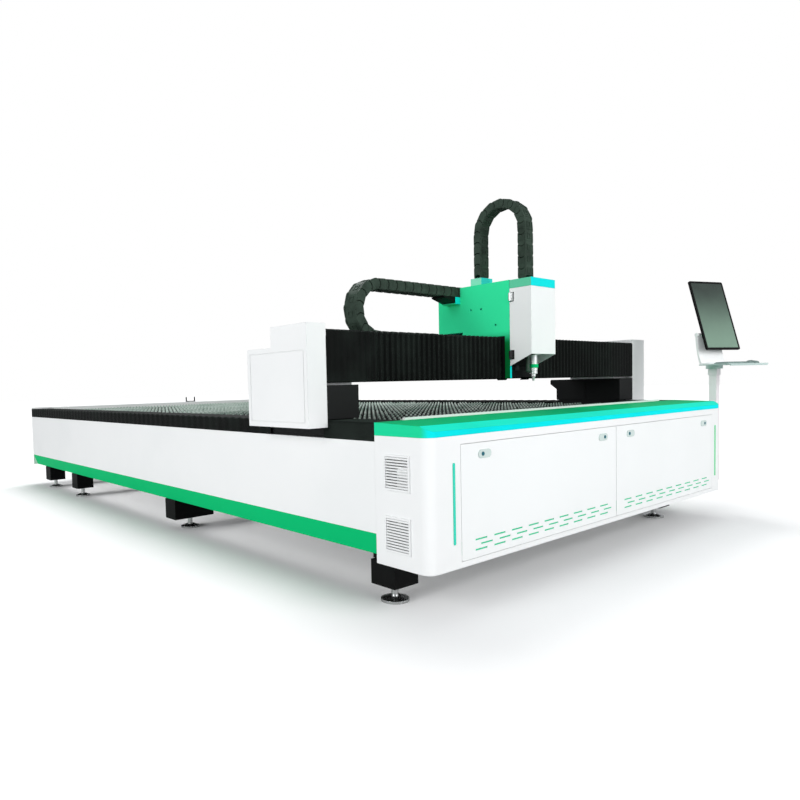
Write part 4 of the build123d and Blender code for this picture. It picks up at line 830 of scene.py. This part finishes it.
# %% Laying a chain
def hairpin(steps, first, radius, second):
    """Points at equal steps along a straight run, a half turn and a straight run back. On the turn the point is the
    end of the first run plus radius times the sine of the turn along it, and radius less its cosine above it."""
    s = np.linspace(0, first + np.pi * radius + second, steps + 1)
    turn = np.clip((s - first) / radius, 0, np.pi)
    past = np.clip(s - first - np.pi * radius, 0, None)
    along = np.minimum(s, first) + radius * np.sin(turn) - past
    return np.column_stack([along, radius - radius * np.cos(turn)])


def copies(shape, origins, axes):
    """One shape set down many times: its points times each place's three axes, plus that place's origin."""
    points, faces = shape
    moved = np.einsum("pk,nkj->npj", points, axes) + origins[:, None, :]
    steps = np.arange(len(origins)) * len(points)
    return moved.reshape(-1, 3), [[i + s for i in face] for s in steps.tolist() for face in faces]


def chain(points, height, width, origin, u, v, w):
    """Links set down along a line of points, in a plane given by its origin and axes. A link's own axes are the
    heading of its step, the heading turned left, and the plane's third axis."""
    step = np.diff(points, axis=0)
    length = np.linalg.norm(step, axis=1)
    heading = step / length[:, None]
    left = np.column_stack([-heading[:, 1], heading[:, 0]])
    plane = np.stack([u, v])
    axes = np.stack([heading @ plane, left @ plane, np.broadcast_to(w, (len(step), 3))], axis=1)
    return copies(chain_link(length.mean(), height, width), origin + points[:-1] @ plane, axes)


def rolling_chain(node, stretches, size, start, axes):
    """A chain in stretches. Each is a name, a row of points and two places for a blend between two bodies. The two
    places are not used."""
    for name, points, first, last in stretches:
        links = piece(name, chain(points, *size, start, *axes), chain_plastic, smooth=35)
        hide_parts(node)
        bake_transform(links)


x_axis, y_axis, z_axis = np.eye(3)
far_off, nearly = 100.0, 1e-6
print("a half turn of radius 1 ends at", hairpin(4, 0, 1, 0)[-1].round(3))

# %% [markdown]
# The chain on the beam lies in its tray and turns up to a bracket on the carriage. Its links could be keyed one by
# one as the carriage runs. It is laid in two stretches, the bend with the run below it and the upper run, with the
# places for a blend worked out but not used.

# %% Beam chain
x_low, x_high = corners("x_chain")
x_links, x_height, x_fixed_back = 25, 0.052, 0.210
x_radius = (x_high[2] - x_low[2] - x_height) / 2
bend_x = x_low[0] + x_radius + x_height / 2
lower_run, upper_run = x_high[0] - x_fixed_back - bend_x, x_high[0] - x_height / 2 - bend_x
line = hairpin(x_links, lower_run, x_radius, upper_run)
start = np.array([x_high[0] - x_fixed_back, x_low[1], x_low[2] + x_height / 2])
past = int(np.argmax(line[:, 1] > 2 * x_radius - nearly))
past_x = start[0] - line[past, 0]
rolling_chain(
    "x_chain",
    (
        ("beam_chain_bend", line[: past + 1], (past_x - far_off, 0, 0), (past_x + far_off, 0, 0)),
        ("beam_chain_run", line[past:], (2 * past_x - x_high[0], 0, 0), (x_high[0], 0, 0)),
    ),
    (x_height, x_high[1] - x_low[1]), start, (-x_axis, z_axis, y_axis),
)
print("beam chain:", round(lower_run + np.pi * x_radius + upper_run, 3), "m")

# %% [markdown]
# The chain over the head stands up from a foot on the carriage and comes down on the head's cap. Both of its runs
# are free, so it is cut into three stretches: the rear run, the bend and the front run, with the places for a blend
# worked out but not used.

# %% Lift chain
z_low, z_high = corners("z_chain")
z_links, z_height, foot_bite = 16, 0.044, 0.0057
z_radius = (z_high[1] - z_low[1] - z_height) / 2
bend_z = z_high[2] - z_radius - z_height / 2
rear_start = corners("z_chain_foot")[1][2] - foot_bite
end_z = z_low[2] + z_height / 2
line = hairpin(z_links, bend_z - rear_start, z_radius, bend_z - end_z)
start = np.array([z_low[0], z_high[1] - z_height / 2, rear_start])
into = int(np.argmax(line[:, 1] > nearly)) - 1
past = int(np.argmax(line[:, 1] > 2 * z_radius - nearly))
into_z, past_z = rear_start + line[into, 0], rear_start + line[past, 0]
rolling_chain(
    "z_chain",
    (
        ("lift_chain_rear", line[: into + 1], (0, 0, rear_start), (0, 0, 2 * into_z - rear_start)),
        ("lift_chain_bend", line[into : past + 1], (0, 0, past_z - far_off), (0, 0, past_z + far_off)),
        ("lift_chain_front", line[past:], (0, 0, 2 * past_z - end_z), (0, 0, end_z)),
    ),
    (z_height, z_high[0] - z_low[0]), start, (z_axis, -y_axis, x_axis),
)
print("lift chain:", round(2 * bend_z - rear_start - end_z + np.pi * z_radius, 3), "m")

# %% [markdown]
# ## Cutting head
# The head is turned from alloy bar: a stem, a coloured ring round the sensor, a grooved collar and a small nozzle.
# A Screw modifier could turn a profile, but it leaves a seam to weld. A grid of radius and height that is closed on
# itself has none.

# %% Cutting head
def lathe(profile, sides=48):
    """A profile of radius and height turned about the Z axis: x is radius times cosine, y is radius times sine."""
    turn = np.linspace(0, 2 * np.pi, sides, endpoint=False)
    profile = np.asarray(profile)
    radius, height = profile[:, :1], np.broadcast_to(profile[:, 1:], (len(profile), sides))
    points = np.stack([radius * np.cos(turn), radius * np.sin(turn), height], -1)
    return grid(points, closed=True, capped=True)


tip_low, tip_high = corners("nozzle")
tip, z = tip_low[2], tip_high[2]
cone = lathe([
    (0.0185, z), (0.0195, z - 0.0015), (0.0195, z - 0.013), (0.0180, z - 0.0145), (0.0180, z - 0.0165),
    (0.0195, z - 0.018), (0.0195, z - 0.0285), (0.0175, z - 0.030), (0.011, z - 0.030), (0.011, z - 0.041),
    (0.0085, z - 0.044), (0.0045, tip + 0.001), (0.0035, tip),
])
nozzle = piece("nozzle_turned", (cone[0] + head_axis, cone[1]), head_alloy, smooth=30)
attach(nozzle, "head")
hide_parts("nozzle")

r, foot, z = (ring_high[0] - ring_low[0]) / 2, ring_low[2], ring_high[2]
band = lathe([
    (r - 0.002, z), (r, z - 0.002), (r, z - 0.007), (r - 0.001, z - 0.0085), (r, z - 0.010), (r, foot + 0.002),
    (r - 0.002, foot),
])
ring = piece("sensor_ring_turned", (band[0] + head_axis, band[1]), green_stripe, smooth=30)
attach(ring, "head")
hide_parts("sensor_ring")

# %% [markdown]
# ## Keyboard
# The keyboard on the console is a low tray with a grid of tapered keys. It could be a box with a picture of keys.
# Real blocks catch the light, and one block is set down in every place of the grid. It stands square to the console's
# tray, so it is drawn flat and turned by the tray's own angle.

# %% Keyboard
across = np.array(joint("monitor_tilt")["axis"])
desk_axes = np.stack([across, np.cross(z_axis, across), z_axis])


def on_desk(shape, node):
    """A flat-drawn shape turned with the tray and set on the middle of a node's foot."""
    low, high = corners(node)
    middle = np.array([(low[0] + high[0]) / 2, (low[1] + high[1]) / 2, low[2]])
    return shape[0] @ desk_axes + middle, shape[1]


def tapered(width, depth, low, high, inset):
    """A block whose top is drawn in on all sides: two rectangles at two heights, joined."""
    square = np.array([[-1, -1], [1, -1], [1, 1], [-1, 1]]) / 2
    rings = [(square * [width, depth], low), (square * [width - inset, depth - inset], high)]
    return grid(np.stack([np.column_stack([q, np.full(4, h)]) for q, h in rings]), closed=True, capped=True)


board_height, key_height, taper = 0.006, 0.004, 0.003
key_x, key_y = np.meshgrid(np.linspace(-0.088, 0.088, 15), np.linspace(-0.030, 0.030, 5))
key_places = np.column_stack([key_x.ravel(), key_y.ravel(), np.full(key_x.size, board_height)])
upright = np.broadcast_to(np.eye(3), (key_x.size, 3, 3))
keys = copies(tapered(0.0108, 0.0128, 0, key_height, taper), key_places, upright)
board = merged(tapered(0.196, 0.082, 0, board_height, taper), keys)
desk_keys = piece("keyboard_keys", on_desk(board, "keyboard"), key_plastic)
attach(desk_keys, "console")
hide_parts("keyboard")

# %% [markdown]
# ## Mouse
# The mouse is a low rounded shell. It could be a sphere that is scaled and cut. A dome as a function of two angles,
# with powers that square it off a little, has its flat foot from the start.

# %% Mouse
def rounded(wave, power):
    """A wave raised to a power with its sign kept, which squares a circle off a little."""
    return np.sign(wave) * np.abs(wave) ** power


half_width, half_length, mouse_height = 0.021, 0.036, 0.018
rise = np.linspace(0, np.pi / 2, 12)[:, None]
round_about = np.linspace(0, 2 * np.pi, 40, endpoint=False)[None, :]
dome = np.stack([
    half_width * np.cos(rise) ** 0.6 * rounded(np.cos(round_about), 0.8),
    half_length * np.cos(rise) ** 0.6 * rounded(np.sin(round_about), 0.8),
    mouse_height * np.sin(rise) ** 0.9 * (1 + 0.12 * np.sin(round_about)) / 1.12,
], -1)
shell = on_desk(grid(dome, closed=True, capped=True), "mouse")
desk_mouse = piece("mouse_shell", shell, key_plastic, smooth=50)
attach(desk_mouse, "console")
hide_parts("mouse")

# %% [markdown]
# ## Studio
# The photograph has a bare white ground. A brighter lamp could whiten the floor, but it would bleach the machine. So
# the floor is pale, and what the camera sees of it turns to plain white away from the machine. It keeps the shadow
# and needs no extra light.

# %% Floor
scene = bpy.context.scene
scene.view_settings.view_transform = "Standard"

span = 60.0
square = [(-span, -span, 0), (span, -span, 0), (span, span, 0), (-span, span, 0)]
floor_mesh = bpy.data.meshes.new("floor")
floor_mesh.from_pydata(square, [], [(0, 1, 2, 3)])
floor = bpy.data.objects.new("floor", floor_mesh)
floor.location = (0, 0, -0.001)
scene.collection.objects.link(floor)
floor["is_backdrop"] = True

floor_material = bpy.data.materials.new("pale_floor")
floor_material.use_nodes = True
floor_mesh.materials.append(floor_material)
tree = floor_material.node_tree
diffuse = tree.nodes["Principled BSDF"]
diffuse.inputs["Roughness"].default_value = 0.9
flow = Flow(tree)
white = (1, 1, 1, 1)
seen = flow.node("LightPath", out="Is Camera Ray")
flow.feed(diffuse.inputs["Base Color"], seen.mix((0.55, 0.55, 0.55, 1), white))
glow = flow.node("Emission", {"Color": white, "Strength": 1.2})
place = flow.node("TexCoord", out="Object")
footprint = (("X", 1.2), ("Y", 2.2))
beyond = [(place.axis(a).math("ABSOLUTE") - half).math("MAXIMUM", 0.0) for a, half in footprint]
away = (beyond[0] * beyond[0] + beyond[1] * beyond[1]).math("SQRT")
share = away.ramp(0.12, 0.80) * 0.45 + away.ramp(0.8, 3.0) * 0.55
mixed = flow.node("MixShader", {0: seen * share, 1: Flow(tree, diffuse.outputs[0]), 2: glow})
tree.links.new(mixed.socket, tree.nodes["Material Output"].inputs["Surface"])
print("floor of", 2 * span, "m")

# %% [markdown]
# The world is a soft even light, a little cool, that shows white to the camera. A picture of a studio could light the
# machine instead. An even colour is enough here, because the lamps give the direction.

# %% World
world = bpy.data.worlds.new("studio")
scene.world = world
world.use_nodes = True
tree = world.node_tree
flow = Flow(tree)
seen = flow.node("LightPath", out="Is Camera Ray")
plain = flow.node("Background", {"Color": white, "Strength": 1.0})
soft = flow.node("Background", {"Color": (0.94, 0.97, 1.0, 1), "Strength": 0.44})
mixed = flow.node("MixShader", {0: seen, 1: soft, 2: plain})
tree.links.new(mixed.socket, tree.nodes["World Output"].inputs["Surface"])
print("world light:", len(tree.nodes), "nodes")

# %% [markdown]
# Three large lamps give the sides their different tones: one before the cabinet, a wide one at the left, and one
# above and behind. A sun lamp would be simpler, but its shadows are hard. Large lamps stand in for the soft boxes of
# a studio.

# %% Lamps
def facing(place, target):
    """The turn that points an object's -Z axis from a place to a target: side is forward cross up, and up is side
    cross forward."""
    forward = np.array(target, float) - np.array(place, float)
    forward /= np.linalg.norm(forward)
    side = np.cross(forward, z_axis)
    side /= np.linalg.norm(side)
    return Matrix(np.column_stack([side, np.cross(side, forward), -forward]).tolist()).to_4x4()


for name, place, target, size, power in (
    ("key", (0.8, -9.0, 3.4), (0, -1.5, 0.6), 5.0, 360),
    ("side", (-12.0, -1.5, 4.5), (-1.0, -0.5, 0.6), 7.0, 700),
    ("top", (1.5, 3.5, 7.5), (0, -0.5, 0), 5.0, 420),
):
    data = bpy.data.lights.new(name, "AREA")
    data.size = size
    data.energy = power
    lamp = bpy.data.objects.new(name, data)
    lamp.matrix_world = Matrix.Translation(place) @ facing(place, target)
    scene.collection.objects.link(lamp)
    print("lamp", name, power, "W")

# %% [markdown]
# A camera could be moved by eye until the view fits. This one comes from a fit of the machine's edges to the
# photograph. It is placed from the cabinet's corner, so it stays right if the frame's origin moves.

# %% Camera
cabinet_low = corners("cabinet_shell")[0]
corner = np.array([cabinet_low[0], cabinet_low[1], 0.0])
camera_data = bpy.data.cameras.new("camera")
camera_data.sensor_width = 36.0
camera_data.lens = 29.09
camera_data.shift_x = 0.0971
camera_data.shift_y = 0.0239
camera_data.clip_end = 200.0
camera = bpy.data.objects.new("camera", camera_data)
right = np.array([0.77629, -0.62986, -0.02562])
upward = np.array([0.05174, 0.02315, 0.99839])
forward = np.array([0.62826, 0.77636, -0.05056])
turn = Matrix(np.column_stack([right, upward, -forward]).tolist()).to_4x4()
camera.matrix_world = Matrix.Translation(corner + [-1.5674, -1.3999, 0.7830]) @ turn
scene.collection.objects.link(camera)
scene.camera = camera
print("camera at", np.round(camera.matrix_world.translation, 3))

# %% [markdown]
# ## Finish
# The box of the dressed machine is printed, from its lowest to its highest corner.

# %% Finish
low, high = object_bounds()
print("dressed, from", np.round(list(low), 3), "to", np.round(list(high), 3))
